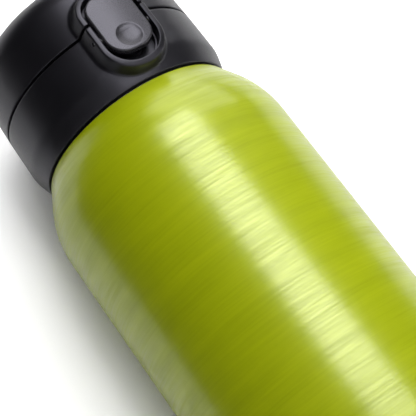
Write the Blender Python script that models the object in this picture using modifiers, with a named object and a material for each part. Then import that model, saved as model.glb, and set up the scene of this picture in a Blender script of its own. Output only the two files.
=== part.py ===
"""Insulated steel water bottle with a screw cap and a one-touch flip lid.

The bottle stands on z = 0 with its axis on Z. The latch faces -Y and the lid's hinge is at +Y.
"""

import math

import bmesh
import bpy
from mathutils import Matrix, Vector

MM = 0.001

# Flask
BODY_RADIUS = 36.5 * MM
BODY_HEIGHT = 165.0 * MM  # floor to the edge of the shoulder under the cap
SHEET = 0.8 * MM  # steel wall
VACUUM_GAP = 2.4 * MM
SHOULDER_RADIUS = 30.0 * MM  # rounding between the wall and the shoulder
SHOULDER_SLOPE = math.radians(30)  # steepest slope of the shoulder, from the axis
SHOULDER_EDGE = 0.6 * MM  # rounding where the shoulder turns in to the neck
CORNER_RADIUS = 4.0 * MM
FOOT_WIDTH = 2.0 * MM
FOOT_HEIGHT = 4.0 * MM
NECK_RADIUS = 23.5 * MM
NECK_HEIGHT = 14.5 * MM
LINER_CORNER = 6.0 * MM
LINER_FLOOR = 6.2 * MM  # floor to the underside of the liner

# Bottom plate, its seal and the getter
PLATE_LEVEL = 2.4 * MM
DIMPLE_RADIUS = 5.0 * MM
DIMPLE_DEPTH = 0.9 * MM
EVACUATION_HOLE = 0.8 * MM
SEAL_RADIUS = 3.2 * MM
SEAL_HEIGHT = 1.1 * MM
GETTER_RADIUS = 5.5 * MM
GETTER_HEIGHT = 1.5 * MM

# Thread between the neck and the cap
THREAD_STARTS = 2
THREAD_LEAD = 9.0 * MM
THREAD_TURN = math.radians(270)
THREAD_DEPTH = 1.1 * MM
THREAD_ROOT_WIDTH = 2.2 * MM
THREAD_CREST_WIDTH = 1.2 * MM
THREAD_BITE = 0.4 * MM  # how far a ridge is sunk into its wall
THREAD_CLEARANCE = 0.6 * MM  # crest to the facing wall
THREAD_PLAY = 0.4 * MM  # flank to flank at rest
THREAD_LEVEL = 3.2 * MM  # ledge to the middle of the neck's thread start

# Collar and its inner core
COLLAR_GAP = 1.3 * MM  # shadow gap over the shoulder
COLLAR_TAPER = 1.7 * MM
COLLAR_TAPER_HEIGHT = 6.0 * MM
COLLAR_DRAFT = 0.012
CAP_WALL = 1.8 * MM
INSERT_WALL = 2.5 * MM
INSERT_GAP = 0.4 * MM
LID_SEAM_HEIGHT = 20.4 * MM  # shoulder edge to the lid seam
SEAM_GAP = 0.8 * MM
DECK = 1.8 * MM
FLANGE_LEDGE = 1.2 * MM
LEDGE_REACH = 1.4 * MM
DRIP_RIM_HEIGHT = 2.4 * MM
DRIP_RIM_WALL = 1.4 * MM
NECK_GASKET = 1.2 * MM

# Mouthpiece
SPOUT_RADIUS = 14.2 * MM
SPOUT_BORE = 10.8 * MM
SPOUT_RISE = 12.0 * MM  # deck to the lip
SPOUT_PLUG = 2.6 * MM  # deck to the lower end
SPOUT_FLANGE = 2.8 * MM
SPOUT_FLANGE_HEIGHT = 1.5 * MM
SPOUT_SEAT = 2.2 * MM  # depth of the lip's 45 degree seat
SPOUT_GASKET = 1.0 * MM

# Lid
LID_HEIGHT = 21.55 * MM  # lid seam to the top
LID_DRAFT = 0.042
LID_FILLET = 9.5 * MM
LID_TOP_WALL = 2.0 * MM
LINER_PLATE = 1.5 * MM
STOPPER_FLANGE = 1.4 * MM
STOPPER_STEM = 4.0 * MM
STOPPER_HEAD = 1.4 * MM
STOPPER_NOSE = 0.75  # width of the nose's flat end, as a share of its widest

# Lid hinge
HINGE_OFFSET = 1.5 * MM  # pin axis behind the cap's wall
HINGE_PIN_RADIUS = 1.0 * MM
BARREL_WALL = 1.9 * MM
KNUCKLE_INNER = 4.2 * MM
KNUCKLE_WIDTH = 3.5 * MM
LUG_WIDTH = 4.0 * MM
HINGE_SPRING_WIRE = 0.7 * MM
HINGE_SPRING_TURNS = 5
HINGE_SPRING_PITCH = 1.25 * MM
HINGE_SPRING_LEG = 2.1 * MM

# Latch frame and button
FRAME_WIDTH = 18.4 * MM
FRAME_BELOW = 16.8 * MM
FRAME_ABOVE = 9.45 * MM
FRAME_FOOT_CORNER = 8.6 * MM
FRAME_TOP_CORNER = 7.0 * MM
FRAME_RIM = 1.5 * MM
FRAME_STAND = 2.9 * MM  # rim face in front of the cap's wall
FRAME_DRAFT = 0.27
POCKET_SINK = 0.6 * MM  # pocket floor behind the cap's wall
WELL_BELOW = 7.0 * MM  # lid seam to the top of the well behind the button's foot
WELL_LEDGE = 0.6 * MM  # pocket wall to the well's wall
WELL_DEPTH = 1.8 * MM  # pocket floor to the well's floor
WELL_PAD = 0.9 * MM  # thickness of the pad behind the well
WELL_PAD_RISE = 0.7 * MM  # top of the well to the top of its pad
BUTTON_SIDE_GAP = 0.75 * MM
BUTTON_TOP_GAP = 1.0 * MM
BUTTON_FOOT_GAP = 3.15 * MM
BUTTON_FOOT_CORNER = 5.7 * MM
BUTTON_PROUD = 0.4 * MM
BUTTON_THICK = 2.2 * MM
BUTTON_EDGE = 0.4 * MM
DISH_RADIUS = 3.65 * MM
DISH_BELOW = 7.55 * MM  # lid seam to the thumb dish
DISH_DEPTH = 0.6 * MM
LATCH_PIN_RADIUS = 0.5 * MM
LATCH_PIN_BELOW = 5.05 * MM
LATCH_PIN_DEPTH = 1.5 * MM  # rim face to the pin axis
LATCH_BARREL_WALL = 1.0 * MM
LATCH_BOSS_WALL = 0.4 * MM  # wall of the frame's boss round the pin
LATCH_PIN_RECESS = 0.4 * MM
HOOK_WIDTH = 7.0 * MM
HOOK_HEIGHT = 1.4 * MM
HOOK_BELOW_TOP = 0.9 * MM
CATCH_HEIGHT = 4.0 * MM
CATCH_MARGIN = 0.8 * MM
LATCH_SPRING_BELOW = 4.1 * MM  # pin axis to the spring axis
LATCH_SPRING_RADIUS = 1.4 * MM
LATCH_SPRING_WIRE = 0.35 * MM
LATCH_SPRING_TURNS = 2.5
SPRING_SEAT_FLOOR = 0.6 * MM
SPRING_POST_WALL = 0.8 * MM
SPRING_SEAT_BUTTON = 0.7 * MM

# Clearances and mesh fineness
FIT = 0.3 * MM
PIN_PLAY = 0.1 * MM
MERGE = 0.000001
BODY_STEPS = 48
SMALL_STEPS = 40
PIN_STEPS = 16
ARC_STEPS = 5
CORNER_STEPS = 4
EDGE_STEPS = 2
COIL_STEPS = 9
HALF_STEP = math.pi / BODY_STEPS
LARGE = 100 * MM  # reach of a cutter that clears everything on one side
AXIS_MARK = 10 * MM
SHARP_ANGLE = math.radians(35)
BEVEL_ANGLE = math.radians(60)

# Levels and radii that follow from the driving dimensions
LEDGE_Z = BODY_HEIGHT + SHOULDER_EDGE
NECK_END = LEDGE_Z + NECK_HEIGHT
LIP_TOP = NECK_END + FIT + SHEET
DECK_Z = LIP_TOP + FIT + NECK_GASKET + FIT
DECK_TOP = DECK_Z + DECK
SEAM_Z = BODY_HEIGHT + LID_SEAM_HEIGHT
COLLAR_TOP = SEAM_Z - SEAM_GAP / 2
LID_BOTTOM = SEAM_Z + SEAM_GAP / 2
LID_TOP = SEAM_Z + LID_HEIGHT
COLLAR_BOTTOM = BODY_HEIGHT + COLLAR_GAP
COLLAR_WIDE_Z = COLLAR_BOTTOM + COLLAR_TAPER_HEIGHT

THREAD_ROOT = NECK_RADIUS + THREAD_DEPTH + THREAD_CLEARANCE
SKIRT_RADIUS = THREAD_ROOT + INSERT_WALL
COLLAR_FOOT_RADIUS = SKIRT_RADIUS + INSERT_GAP + CAP_WALL
CAP_RADIUS = COLLAR_FOOT_RADIUS + COLLAR_TAPER
COLLAR_TOP_RADIUS = CAP_RADIUS - COLLAR_DRAFT * (COLLAR_TOP - COLLAR_WIDE_Z)
FLANGE_RADIUS = COLLAR_TOP_RADIUS - CAP_WALL - INSERT_GAP
SHOULDER_TOP_RADIUS = COLLAR_FOOT_RADIUS - FIT
LID_FILLET_Z = LID_TOP - LID_FILLET
LID_SHOULDER_RADIUS = COLLAR_TOP_RADIUS - LID_DRAFT * (LID_FILLET_Z - LID_BOTTOM)
LINER_RADIUS = BODY_RADIUS - SHEET - VACUUM_GAP
LINER_NECK = NECK_RADIUS - SHEET - FIT

SPOUT_LIP = DECK_TOP + SPOUT_RISE
SPOUT_FLANGE_Z = DECK_TOP + FIT + SPOUT_GASKET + FIT
STOPPER_TOP = SPOUT_LIP + 2 * FIT + STOPPER_FLANGE
PLATE_Z = STOPPER_TOP + FIT

HINGE_Y = CAP_RADIUS + HINGE_OFFSET
BARREL_RADIUS = HINGE_PIN_RADIUS + PIN_PLAY + BARREL_WALL
RELIEF_RADIUS = BARREL_RADIUS + 2 * FIT
LUG_INNER = KNUCKLE_INNER + KNUCKLE_WIDTH + FIT
LUG_OUTER = LUG_INNER + LUG_WIDTH
HINGE_POINT = Vector((0, HINGE_Y, SEAM_Z))

FRAME_FACE = CAP_RADIUS + FRAME_STAND
POCKET_FLOOR = CAP_RADIUS - POCKET_SINK
BUTTON_FACE = FRAME_FACE + BUTTON_PROUD
BUTTON_BACK = BUTTON_FACE - BUTTON_THICK
BUTTON_TOP = SEAM_Z + FRAME_ABOVE - FRAME_RIM - BUTTON_TOP_GAP
BUTTON_INSET = FRAME_RIM + BUTTON_SIDE_GAP
BUTTON_HALF = FRAME_WIDTH / 2 - BUTTON_INSET
WELL_TOP = SEAM_Z - WELL_BELOW
WELL_FLOOR = POCKET_FLOOR - WELL_DEPTH
LATCH_POINT = Vector((0, LATCH_PIN_DEPTH - FRAME_FACE, SEAM_Z - LATCH_PIN_BELOW))
LATCH_SPRING_Z = LATCH_POINT.z - LATCH_SPRING_BELOW


def start_scene():
    """Empty the scene and make the two collections."""
    for item in list(bpy.data.objects):
        bpy.data.objects.remove(item, do_unlink=True)
    made = []
    for name in ("water_bottle", "water_bottle_cutters"):
        group = bpy.data.collections.new(name)
        bpy.context.scene.collection.children.link(group)
        made.append(group)
    return made


PARTS, CUTTERS = start_scene()


def finish_of(name, colour, roughness, metallic):
    """Principled material with one colour, roughness and metallic value."""
    material = bpy.data.materials.new(name)
    material.use_nodes = True
    shader = material.node_tree.nodes["Principled BSDF"]
    shader.inputs["Base Color"].default_value = (*colour, 1)
    shader.inputs["Roughness"].default_value = roughness
    shader.inputs["Metallic"].default_value = metallic
    return material


LIME_LACQUER = finish_of("lime_lacquer", (0.40, 0.48, 0.01), 0.40, 0.5)
STEEL = finish_of("steel", (0.60, 0.60, 0.58), 0.30, 1.0)
BLACK_PLASTIC = finish_of("black_plastic", (0.012, 0.0115, 0.013), 0.45, 0.0)
BUTTON_PLASTIC = finish_of("button_plastic", (0.036, 0.035, 0.038), 0.40, 0.0)
CORE_PLASTIC = finish_of("core_plastic", (0.030, 0.030, 0.032), 0.45, 0.0)
SILICONE = finish_of("silicone", (0.55, 0.55, 0.53), 0.60, 0.0)
GLASS_SOLDER = finish_of("glass_solder", (0.30, 0.30, 0.31), 0.25, 0.3)


def place(name, mesh, collection):
    """Object with this mesh in one of the two collections."""
    item = bpy.data.objects.new(name, mesh)
    collection.objects.link(item)
    if collection is CUTTERS:
        item.hide_render = True
        item.display_type = "WIRE"
    return item


def arc(centre_r, centre_z, radius, start, end, steps=ARC_STEPS):
    """Points of an arc in the profile plane, angles in radians from +r towards +z."""
    points = []
    for step in range(steps + 1):
        angle = start + (end - start) * step / steps
        points.append((centre_r + radius * math.cos(angle), centre_z + radius * math.sin(angle)))
    return points


def turned(name, profile, collection, steps=BODY_STEPS):
    """Turn a profile about Z. It runs down its outer side, and a profile off the axis is closed."""
    mesh = bpy.data.meshes.new(name)
    shape = bmesh.new()
    corners = [shape.verts.new((r, 0, z)) for r, z in profile]
    for first, second in zip(corners, corners[1:]):
        shape.edges.new((first, second))
    if profile[0][0] > MERGE:
        shape.edges.new((corners[-1], corners[0]))
    shape.to_mesh(mesh)
    shape.free()
    item = place(name, mesh, collection)
    screw = item.modifiers.new("turn", "SCREW")
    screw.steps = steps
    screw.render_steps = steps
    screw.use_merge_vertices = True
    screw.merge_threshold = MERGE
    return item


def rod(name, radius, start, end, collection, steps=PIN_STEPS):
    """Round bar between two points."""
    along = Vector(end) - Vector(start)
    middle = Matrix.Translation((Vector(start) + Vector(end)) / 2)
    turn = Vector((0, 0, 1)).rotation_difference(along).to_matrix().to_4x4()
    mesh = bpy.data.meshes.new(name)
    shape = bmesh.new()
    bmesh.ops.create_cone(shape, cap_ends=True, segments=steps, radius1=radius, radius2=radius,
                          depth=along.length, matrix=middle @ turn)
    shape.to_mesh(mesh)
    shape.free()
    return place(name, mesh, collection)


def block(name, low, high, collection):
    """Box between two corners."""
    mesh = bpy.data.meshes.new(name)
    shape = bmesh.new()
    size = Vector(high) - Vector(low)
    middle = (Vector(low) + Vector(high)) / 2
    bmesh.ops.create_cube(shape, size=1, matrix=Matrix.Translation(middle) @ Matrix.Diagonal((*size, 1)))
    shape.to_mesh(mesh)
    shape.free()
    return place(name, mesh, collection)


def evaluated_mesh(item):
    """Mesh of an object or curve with its modifiers applied and its loose doubles welded."""
    bpy.context.view_layer.update()
    graph = bpy.context.evaluated_depsgraph_get()
    mesh = bpy.data.meshes.new_from_object(item.evaluated_get(graph))
    shape = bmesh.new()
    shape.from_mesh(mesh)
    bmesh.ops.remove_doubles(shape, verts=shape.verts, dist=MERGE)
    shape.to_mesh(mesh)
    shape.free()
    return mesh


def curve_to_mesh(curve, collection):
    """Replace a curve object by a mesh object of the same name and place."""
    name = curve.name
    mesh = evaluated_mesh(curve)
    matrix = curve.matrix_world.copy()
    bpy.data.objects.remove(curve, do_unlink=True)
    item = place(name, mesh, collection)
    item.matrix_world = matrix
    return item


def rounded_outline(half_width, bottom, top, foot_corner, top_corner):
    """Upright outline in x and z with round corners, run round from its lower right corner."""
    foot_corner = min(foot_corner, half_width - FIT)
    top_corner = min(top_corner, half_width - FIT)
    foot_x, foot_z = half_width - foot_corner, bottom + foot_corner
    top_x, top_z = half_width - top_corner, top - top_corner
    quarter = math.pi / 2
    points = arc(foot_x, foot_z, foot_corner, -quarter, 0)
    points += arc(top_x, top_z, top_corner, 0, quarter)
    points += arc(-top_x, top_z, top_corner, quarter, 2 * quarter)
    points += arc(-foot_x, foot_z, foot_corner, 2 * quarter, 3 * quarter)
    return points


def slab(name, outline, front, back, collection):
    """Outline in x and z, extruded between two distances in front of the axis."""
    curve = bpy.data.curves.new(name, "CURVE")
    curve.dimensions = "2D"
    curve.fill_mode = "BOTH"
    curve.extrude = (front - back) / 2
    spline = curve.splines.new("POLY")
    spline.points.add(len(outline) - 1)
    for point, (x, z) in zip(spline.points, outline):
        point.co = (x, z, 0, 1)
    spline.use_cyclic_u = True
    item = bpy.data.objects.new(name, curve)
    collection.objects.link(item)
    item.rotation_euler = (math.pi / 2, 0, 0)
    item.location = (0, -(front + back) / 2, 0)
    return curve_to_mesh(item, collection)


def drafted_slab(name, outline, front, wide_outline, back, collection):
    """Closed loft from one outline in front to a wider one behind."""
    mesh = bpy.data.meshes.new(name)
    shape = bmesh.new()
    near = [shape.verts.new((x, -front, z)) for x, z in outline]
    far = [shape.verts.new((x, -back, z)) for x, z in wide_outline]
    shape.faces.new(near)
    shape.faces.new(far)
    for index in range(len(near)):
        other = (index + 1) % len(near)
        shape.faces.new((near[index], near[other], far[other], far[index]))
    bmesh.ops.recalc_face_normals(shape, faces=shape.faces)
    shape.to_mesh(mesh)
    shape.free()
    return place(name, mesh, collection)


def combine(item, other, operation):
    """Add a Boolean modifier."""
    cut = item.modifiers.new(other.name, "BOOLEAN")
    cut.operation = operation
    cut.solver = "EXACT"
    cut.object = other


def cut_away(item, *others):
    for other in others:
        combine(item, other, "DIFFERENCE")


def join_on(item, *others):
    for other in others:
        combine(item, other, "UNION")


def thread_ridge(name, start_angle, level, root, crest, collection):
    """One helical ridge from its root radius to its crest radius, closed at both ends."""
    land = THREAD_CREST_WIDTH / 2
    slope = (THREAD_ROOT_WIDTH / 2 - land) / THREAD_DEPTH
    flank = THREAD_ROOT_WIDTH / 2 + slope * THREAD_BITE
    sunk = root + math.copysign(THREAD_BITE, root - crest)
    profile = [(sunk, flank), (crest, land), (crest, -land), (sunk, -flank)]
    if crest < root:
        profile.reverse()
    steps = round(BODY_STEPS * THREAD_TURN / math.tau)
    mesh = bpy.data.meshes.new(name)
    shape = bmesh.new()
    corners = [shape.verts.new((r, 0, z)) for r, z in profile]
    for index, corner in enumerate(corners):
        shape.edges.new((corner, corners[(index + 1) % len(corners)]))
    shape.to_mesh(mesh)
    shape.free()
    item = place(name, mesh, collection)
    screw = item.modifiers.new("turn", "SCREW")
    screw.angle = THREAD_TURN
    screw.screw_offset = THREAD_LEAD * THREAD_TURN / math.tau
    screw.steps = steps
    screw.render_steps = steps
    swept = evaluated_mesh(item)
    shape = bmesh.new()
    shape.from_mesh(swept)
    bmesh.ops.holes_fill(shape, edges=[edge for edge in shape.edges if edge.is_boundary])
    bmesh.ops.recalc_face_normals(shape, faces=shape.faces)
    shape.to_mesh(swept)
    shape.free()
    item.modifiers.clear()
    item.data = swept
    item.matrix_world = Matrix.Translation((0, 0, level)) @ Matrix.Rotation(start_angle, 4, "Z")
    return item


def least_self_gap(points, wire, turn_points):
    """Smallest clear distance between stretches of a wire that lie half a turn or more apart."""
    least = LARGE
    apart = turn_points // 2 + 1
    for index, point in enumerate(points):
        for other in points[index + apart:]:
            least = min(least, (other - point).length)
    return least - wire


def wire_coil(name, points, wire, material, parent):
    """Round wire along points, as one tube with closed ends."""
    curve = bpy.data.curves.new(name, "CURVE")
    curve.dimensions = "3D"
    curve.bevel_depth = wire / 2
    curve.bevel_resolution = 1
    curve.use_fill_caps = True
    spline = curve.splines.new("POLY")
    spline.points.add(len(points) - 1)
    for target, point in zip(spline.points, points):
        target.co = (*point, 1)
    item = bpy.data.objects.new(name, curve)
    PARTS.objects.link(item)
    gap = least_self_gap(points, wire, COIL_STEPS)
    print(f"{name}: least gap between turns {gap / MM:.2f} mm")
    return settle(curve_to_mesh(item, PARTS), material, parent)


def joint_axis(name, point, parent=None):
    """Empty on a joint's axis that its moving pieces hang from."""
    empty = bpy.data.objects.new(name, None)
    PARTS.objects.link(empty)
    empty.empty_display_size = AXIS_MARK
    empty.location = point
    if parent:
        empty.parent = parent
        empty.matrix_parent_inverse = parent.matrix_world.inverted()
    bpy.context.view_layer.update()
    return empty


def settle(item, material, parent=None):
    """Fix the finished mesh, shade it, give it its material and hang it from its axis."""
    mesh = evaluated_mesh(item)
    item.modifiers.clear()
    item.data = mesh
    mesh.materials.clear()
    mesh.materials.append(material)
    mesh.shade_smooth()
    mesh.set_sharp_from_angle(angle=SHARP_ANGLE)
    if parent:
        item.parent = parent
        item.matrix_parent_inverse = parent.matrix_world.inverted()
    return item


def collar_radius(z):
    """Outer radius of the collar above its taper."""
    return CAP_RADIUS - COLLAR_DRAFT * (z - COLLAR_WIDE_Z)


def lid_inner_radius(z):
    """Inner radius of the lid at a height in its top fillet."""
    rise = max(z - LID_FILLET_Z, 0)
    inner = LID_FILLET - LID_TOP_WALL
    return LID_SHOULDER_RADIUS - LID_FILLET + math.sqrt(inner ** 2 - rise ** 2)


def shoulder_profile(inset):
    """Shoulder from its inner edge down to the wall, moved in by an inset."""
    step = BODY_RADIUS - SHOULDER_TOP_RADIUS
    slope = min(SHOULDER_SLOPE, math.acos(1 - step / SHOULDER_RADIUS))
    cone_width = step - SHOULDER_RADIUS * (1 - math.cos(slope))
    cone_height = cone_width / math.tan(slope)
    wall_level = BODY_HEIGHT - cone_height - SHOULDER_RADIUS * math.sin(slope)
    return arc(BODY_RADIUS - SHOULDER_RADIUS, wall_level, SHOULDER_RADIUS - inset, slope, 0)


def make_outer_shell():
    """Lacquered body with its threaded neck and standing ring."""
    edge = SHOULDER_EDGE
    corner_r = BODY_RADIUS - CORNER_RADIUS
    foot_r = corner_r - FOOT_WIDTH
    quarter = math.pi / 2
    profile = [(NECK_RADIUS - SHEET, NECK_END), (NECK_RADIUS, NECK_END)]
    profile += arc(NECK_RADIUS + edge, LEDGE_Z + edge, edge, 2 * quarter, 3 * quarter, EDGE_STEPS)
    profile += arc(SHOULDER_TOP_RADIUS - edge, BODY_HEIGHT, edge, quarter, 0, EDGE_STEPS)
    profile += shoulder_profile(0)
    profile += arc(corner_r, CORNER_RADIUS, CORNER_RADIUS, 0, -quarter, CORNER_STEPS)
    profile += [(foot_r, 0), (foot_r, FOOT_HEIGHT)]
    profile += [(foot_r + SHEET, FOOT_HEIGHT), (foot_r + SHEET, SHEET)]
    profile += arc(corner_r, CORNER_RADIUS, CORNER_RADIUS - SHEET, -quarter, 0, CORNER_STEPS)
    profile += reversed(shoulder_profile(SHEET))
    profile += [(SHOULDER_TOP_RADIUS - SHEET, LEDGE_Z - SHEET), (NECK_RADIUS - SHEET, LEDGE_Z - SHEET)]
    shell = turned("outer_shell", profile, PARTS)
    for start in range(THREAD_STARTS):
        ridge = thread_ridge(f"neck_ridge_{start}", start * math.tau / THREAD_STARTS + HALF_STEP,
                             LEDGE_Z + THREAD_LEVEL, NECK_RADIUS, NECK_RADIUS + THREAD_DEPTH, CUTTERS)
        join_on(shell, ridge)
    settle(shell, LIME_LACQUER)


def make_inner_liner():
    """Inner flask whose lip lies over the end of the neck."""
    neck_z = LEDGE_Z - SHEET - VACUUM_GAP
    bore = LINER_NECK - SHEET
    corner_r = LINER_RADIUS - LINER_CORNER
    corner_z = LINER_FLOOR + LINER_CORNER
    quarter = math.pi / 2
    outside = [(0, LIP_TOP), (NECK_RADIUS, LIP_TOP), (NECK_RADIUS, LIP_TOP - SHEET)]
    outside += [(LINER_NECK, LIP_TOP - SHEET), (LINER_NECK, neck_z)]
    outside += shoulder_profile(SHEET + VACUUM_GAP)
    outside += arc(corner_r, corner_z, LINER_CORNER, 0, -quarter, CORNER_STEPS)
    outside += [(0, LINER_FLOOR)]
    hollow = [(0, LIP_TOP + FIT), (bore, LIP_TOP + FIT), (bore, neck_z - SHEET)]
    hollow += shoulder_profile(2 * SHEET + VACUUM_GAP)
    hollow += arc(corner_r, corner_z, LINER_CORNER - SHEET, 0, -quarter, CORNER_STEPS)
    hollow += [(0, LINER_FLOOR + SHEET)]
    body = turned("inner_liner", outside, PARTS)
    cut_away(body, turned("liner_hollow", hollow, CUTTERS))
    settle(body, STEEL)


def make_base():
    """Bottom plate, the bead over its evacuation hole, and the getter under the liner."""
    rim = BODY_RADIUS - CORNER_RADIUS - FOOT_WIDTH - FIT
    low, high = PLATE_LEVEL, PLATE_LEVEL + SHEET
    lift = DIMPLE_DEPTH
    slope = DIMPLE_RADIUS + lift
    plate = [(EVACUATION_HOLE, high + lift), (DIMPLE_RADIUS, high + lift), (slope, high)]
    plate += [(rim, high), (rim, low), (slope - SHEET / 2, low)]
    plate += [(DIMPLE_RADIUS - SHEET / 2, low + lift), (EVACUATION_HOLE, low + lift)]
    settle(turned("base_plate", plate, PARTS, SMALL_STEPS), STEEL)
    seal_top = low + lift - FIT
    dome_radius = (SEAL_RADIUS ** 2 + SEAL_HEIGHT ** 2) / (2 * SEAL_HEIGHT)
    spread = math.asin(SEAL_RADIUS / dome_radius)
    dome_centre = seal_top - SEAL_HEIGHT + dome_radius
    quarter = math.pi / 2
    bead = [(0, seal_top)]
    bead += arc(0, dome_centre, dome_radius, spread - quarter, -quarter, CORNER_STEPS)
    settle(turned("vacuum_seal", bead, PARTS, SMALL_STEPS // 2), GLASS_SOLDER)
    top = LINER_FLOOR - FIT
    bottom = top - GETTER_HEIGHT
    getter = [(0, top), (GETTER_RADIUS, top), (GETTER_RADIUS, bottom), (0, bottom)]
    settle(turned("getter", getter, PARTS, SMALL_STEPS // 2), STEEL)


def frame_shape(inset):
    """Outline of the latch frame, drawn in by an inset."""
    return rounded_outline(FRAME_WIDTH / 2 - inset, SEAM_Z - FRAME_BELOW + inset,
                           SEAM_Z + FRAME_ABOVE - inset, FRAME_FOOT_CORNER - inset, FRAME_TOP_CORNER - inset)


def frame_boss():
    """Raised block of the latch frame, through the whole cap wall."""
    back = POCKET_FLOOR - 2 * CAP_WALL
    widening = FRAME_DRAFT * (FRAME_FACE - back)
    return drafted_slab("frame_boss", frame_shape(0), FRAME_FACE, frame_shape(-widening), back, CUTTERS)


def pocket_end(name, inset, top, front, back):
    """Lower end of the frame's outline up to a level, extruded between two distances."""
    end = slab(name, frame_shape(inset), front, back, CUTTERS)
    cut_away(end, block(f"above_{name}", (-LARGE, -LARGE, top), (LARGE, LARGE, top + LARGE), CUTTERS))
    return end


def pin_bosses():
    """Bosses on the frame's inner walls that carry the latch pin up to the button's sides."""
    bosses = []
    radius = LATCH_PIN_RADIUS + PIN_PLAY + LATCH_BOSS_WALL
    for side in (-1, 1):
        tip = LATCH_POINT + Vector((side * (BUTTON_HALF + FIT), 0, 0))
        root = LATCH_POINT + Vector((side * (FRAME_WIDTH - FRAME_RIM) / 2, 0, 0))
        bosses.append(rod(f"pin_boss_{side}", radius, tip, root, CUTTERS))
    return bosses


def hinge_ears(name, inner, outer, wall_radius, low, high):
    """Pair of hinge barrels with the arms that tie them to a wall, as cutter objects."""
    pieces = []
    middle = (inner + outer) / 2
    front = math.sqrt((wall_radius - CAP_WALL / 2) ** 2 - middle ** 2)
    for side in (-1, 1):
        left, right = sorted((side * inner, side * outer))
        pieces.append(rod(f"{name}_barrel_{side}", BARREL_RADIUS, (left, HINGE_Y, SEAM_Z),
                          (right, HINGE_Y, SEAM_Z), CUTTERS))
        pieces.append(block(f"{name}_arm_{side}", (left + FIT, front, low),
                            (right - FIT, HINGE_Y, high), CUTTERS))
    return pieces


def hinge_relief(name, spans):
    """Room for the other piece's barrels over spans of x."""
    cutters = []
    for index, (low, high) in enumerate(spans):
        cutters.append(rod(f"{name}_{index}", RELIEF_RADIUS, (low, HINGE_Y, SEAM_Z),
                           (high, HINGE_Y, SEAM_Z), CUTTERS))
    return cutters


def make_collar(cap_axis, boss, pocket, hinge_bore, latch_bore):
    """Outer ring of the cap, with the lower half of the latch frame and the hinge lugs."""
    over = COLLAR_TOP + FIT
    outside = [(0, over), (collar_radius(over), over), (CAP_RADIUS, COLLAR_WIDE_Z)]
    outside += [(COLLAR_FOOT_RADIUS, COLLAR_BOTTOM), (0, COLLAR_BOTTOM)]
    collar = turned("collar_shell", outside, PARTS)
    above = block("above_collar", (-LARGE, -LARGE, COLLAR_TOP),
                  (LARGE, LARGE, COLLAR_TOP + LARGE), CUTTERS)
    ledge_top = DECK_Z - FIT
    ledge_low = ledge_top - FLANGE_LEDGE
    ledge_r = collar_radius(ledge_top) - CAP_WALL - LEDGE_REACH
    ledge_wall = collar_radius(ledge_top) - CAP_WALL
    hollow = [(0, over + FIT), (collar_radius(over) - CAP_WALL, over + FIT), (ledge_wall, ledge_top)]
    hollow += [(ledge_r, ledge_top), (ledge_r, ledge_low), (ledge_wall, ledge_low - LEDGE_REACH)]
    hollow += [(CAP_RADIUS - CAP_WALL, COLLAR_WIDE_Z), (COLLAR_FOOT_RADIUS - CAP_WALL, COLLAR_BOTTOM)]
    hollow += [(COLLAR_FOOT_RADIUS - CAP_WALL, COLLAR_BOTTOM - FIT), (0, COLLAR_BOTTOM - FIT)]
    join_on(collar, boss)
    cut_away(collar, above, turned("collar_hollow", hollow, CUTTERS), pocket)
    join_on(collar, pocket_end("well_pad", FRAME_RIM, WELL_TOP + WELL_PAD_RISE, POCKET_FLOOR - FIT,
                               WELL_FLOOR - WELL_PAD), *pin_bosses())
    cut_away(collar, pocket_end("well", FRAME_RIM + WELL_LEDGE, WELL_TOP, POCKET_FLOOR + FIT, WELL_FLOOR))
    cut_away(collar, *hinge_relief("collar_relief", [(FIT / 2 - LUG_INNER, LUG_INNER - FIT / 2)]))
    join_on(collar, *hinge_ears("collar_lug", LUG_INNER, LUG_OUTER, COLLAR_TOP_RADIUS,
                                SEAM_Z + FIT - BARREL_RADIUS, COLLAR_TOP - FIT))
    seat_radius = LATCH_SPRING_RADIUS + 2 * FIT
    join_on(collar, rod("spring_post", seat_radius + SPRING_POST_WALL, (0, FIT - WELL_FLOOR, LATCH_SPRING_Z),
                        (0, -POCKET_FLOOR, LATCH_SPRING_Z), CUTTERS))
    seat = rod("floor_spring_seat", seat_radius, (0, SPRING_SEAT_FLOOR - POCKET_FLOOR, LATCH_SPRING_Z),
               (0, -FRAME_FACE, LATCH_SPRING_Z), CUTTERS)
    cut_away(collar, hinge_bore, latch_bore, seat)
    settle(collar, BLACK_PLASTIC, cap_axis)


def make_thread_insert(cap_axis):
    """Inner core of the cap: internal thread, deck, drip rim and seat for the mouthpiece."""
    hole = SPOUT_RADIUS + FIT
    rim_r = SKIRT_RADIUS - FIT
    skirt_low = LEDGE_Z + 2 * FIT
    rim_in = rim_r - DRIP_RIM_WALL
    rim_top = DECK_TOP + DRIP_RIM_HEIGHT
    profile = [(hole, DECK_TOP), (rim_in, DECK_TOP), (rim_in, rim_top)]
    profile += [(rim_r, rim_top), (rim_r, DECK_TOP), (FLANGE_RADIUS, DECK_TOP)]
    profile += [(FLANGE_RADIUS, DECK_Z), (SKIRT_RADIUS, DECK_Z), (SKIRT_RADIUS, skirt_low)]
    profile += [(THREAD_ROOT, skirt_low), (THREAD_ROOT, DECK_Z), (hole, DECK_Z)]
    core = turned("thread_insert", profile, PARTS)
    crest = THREAD_ROOT - THREAD_DEPTH
    flanks = (THREAD_ROOT_WIDTH + THREAD_CREST_WIDTH) / 2
    level = LEDGE_Z + THREAD_LEVEL - flanks - THREAD_PLAY
    for start in range(THREAD_STARTS):
        angle = (start + 0.5) * math.tau / THREAD_STARTS + HALF_STEP
        ridge = thread_ridge(f"core_ridge_{start}", angle, level + THREAD_LEAD / THREAD_STARTS / 2,
                             THREAD_ROOT, crest, CUTTERS)
        join_on(core, ridge)
    settle(core, CORE_PLASTIC, cap_axis)


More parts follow.
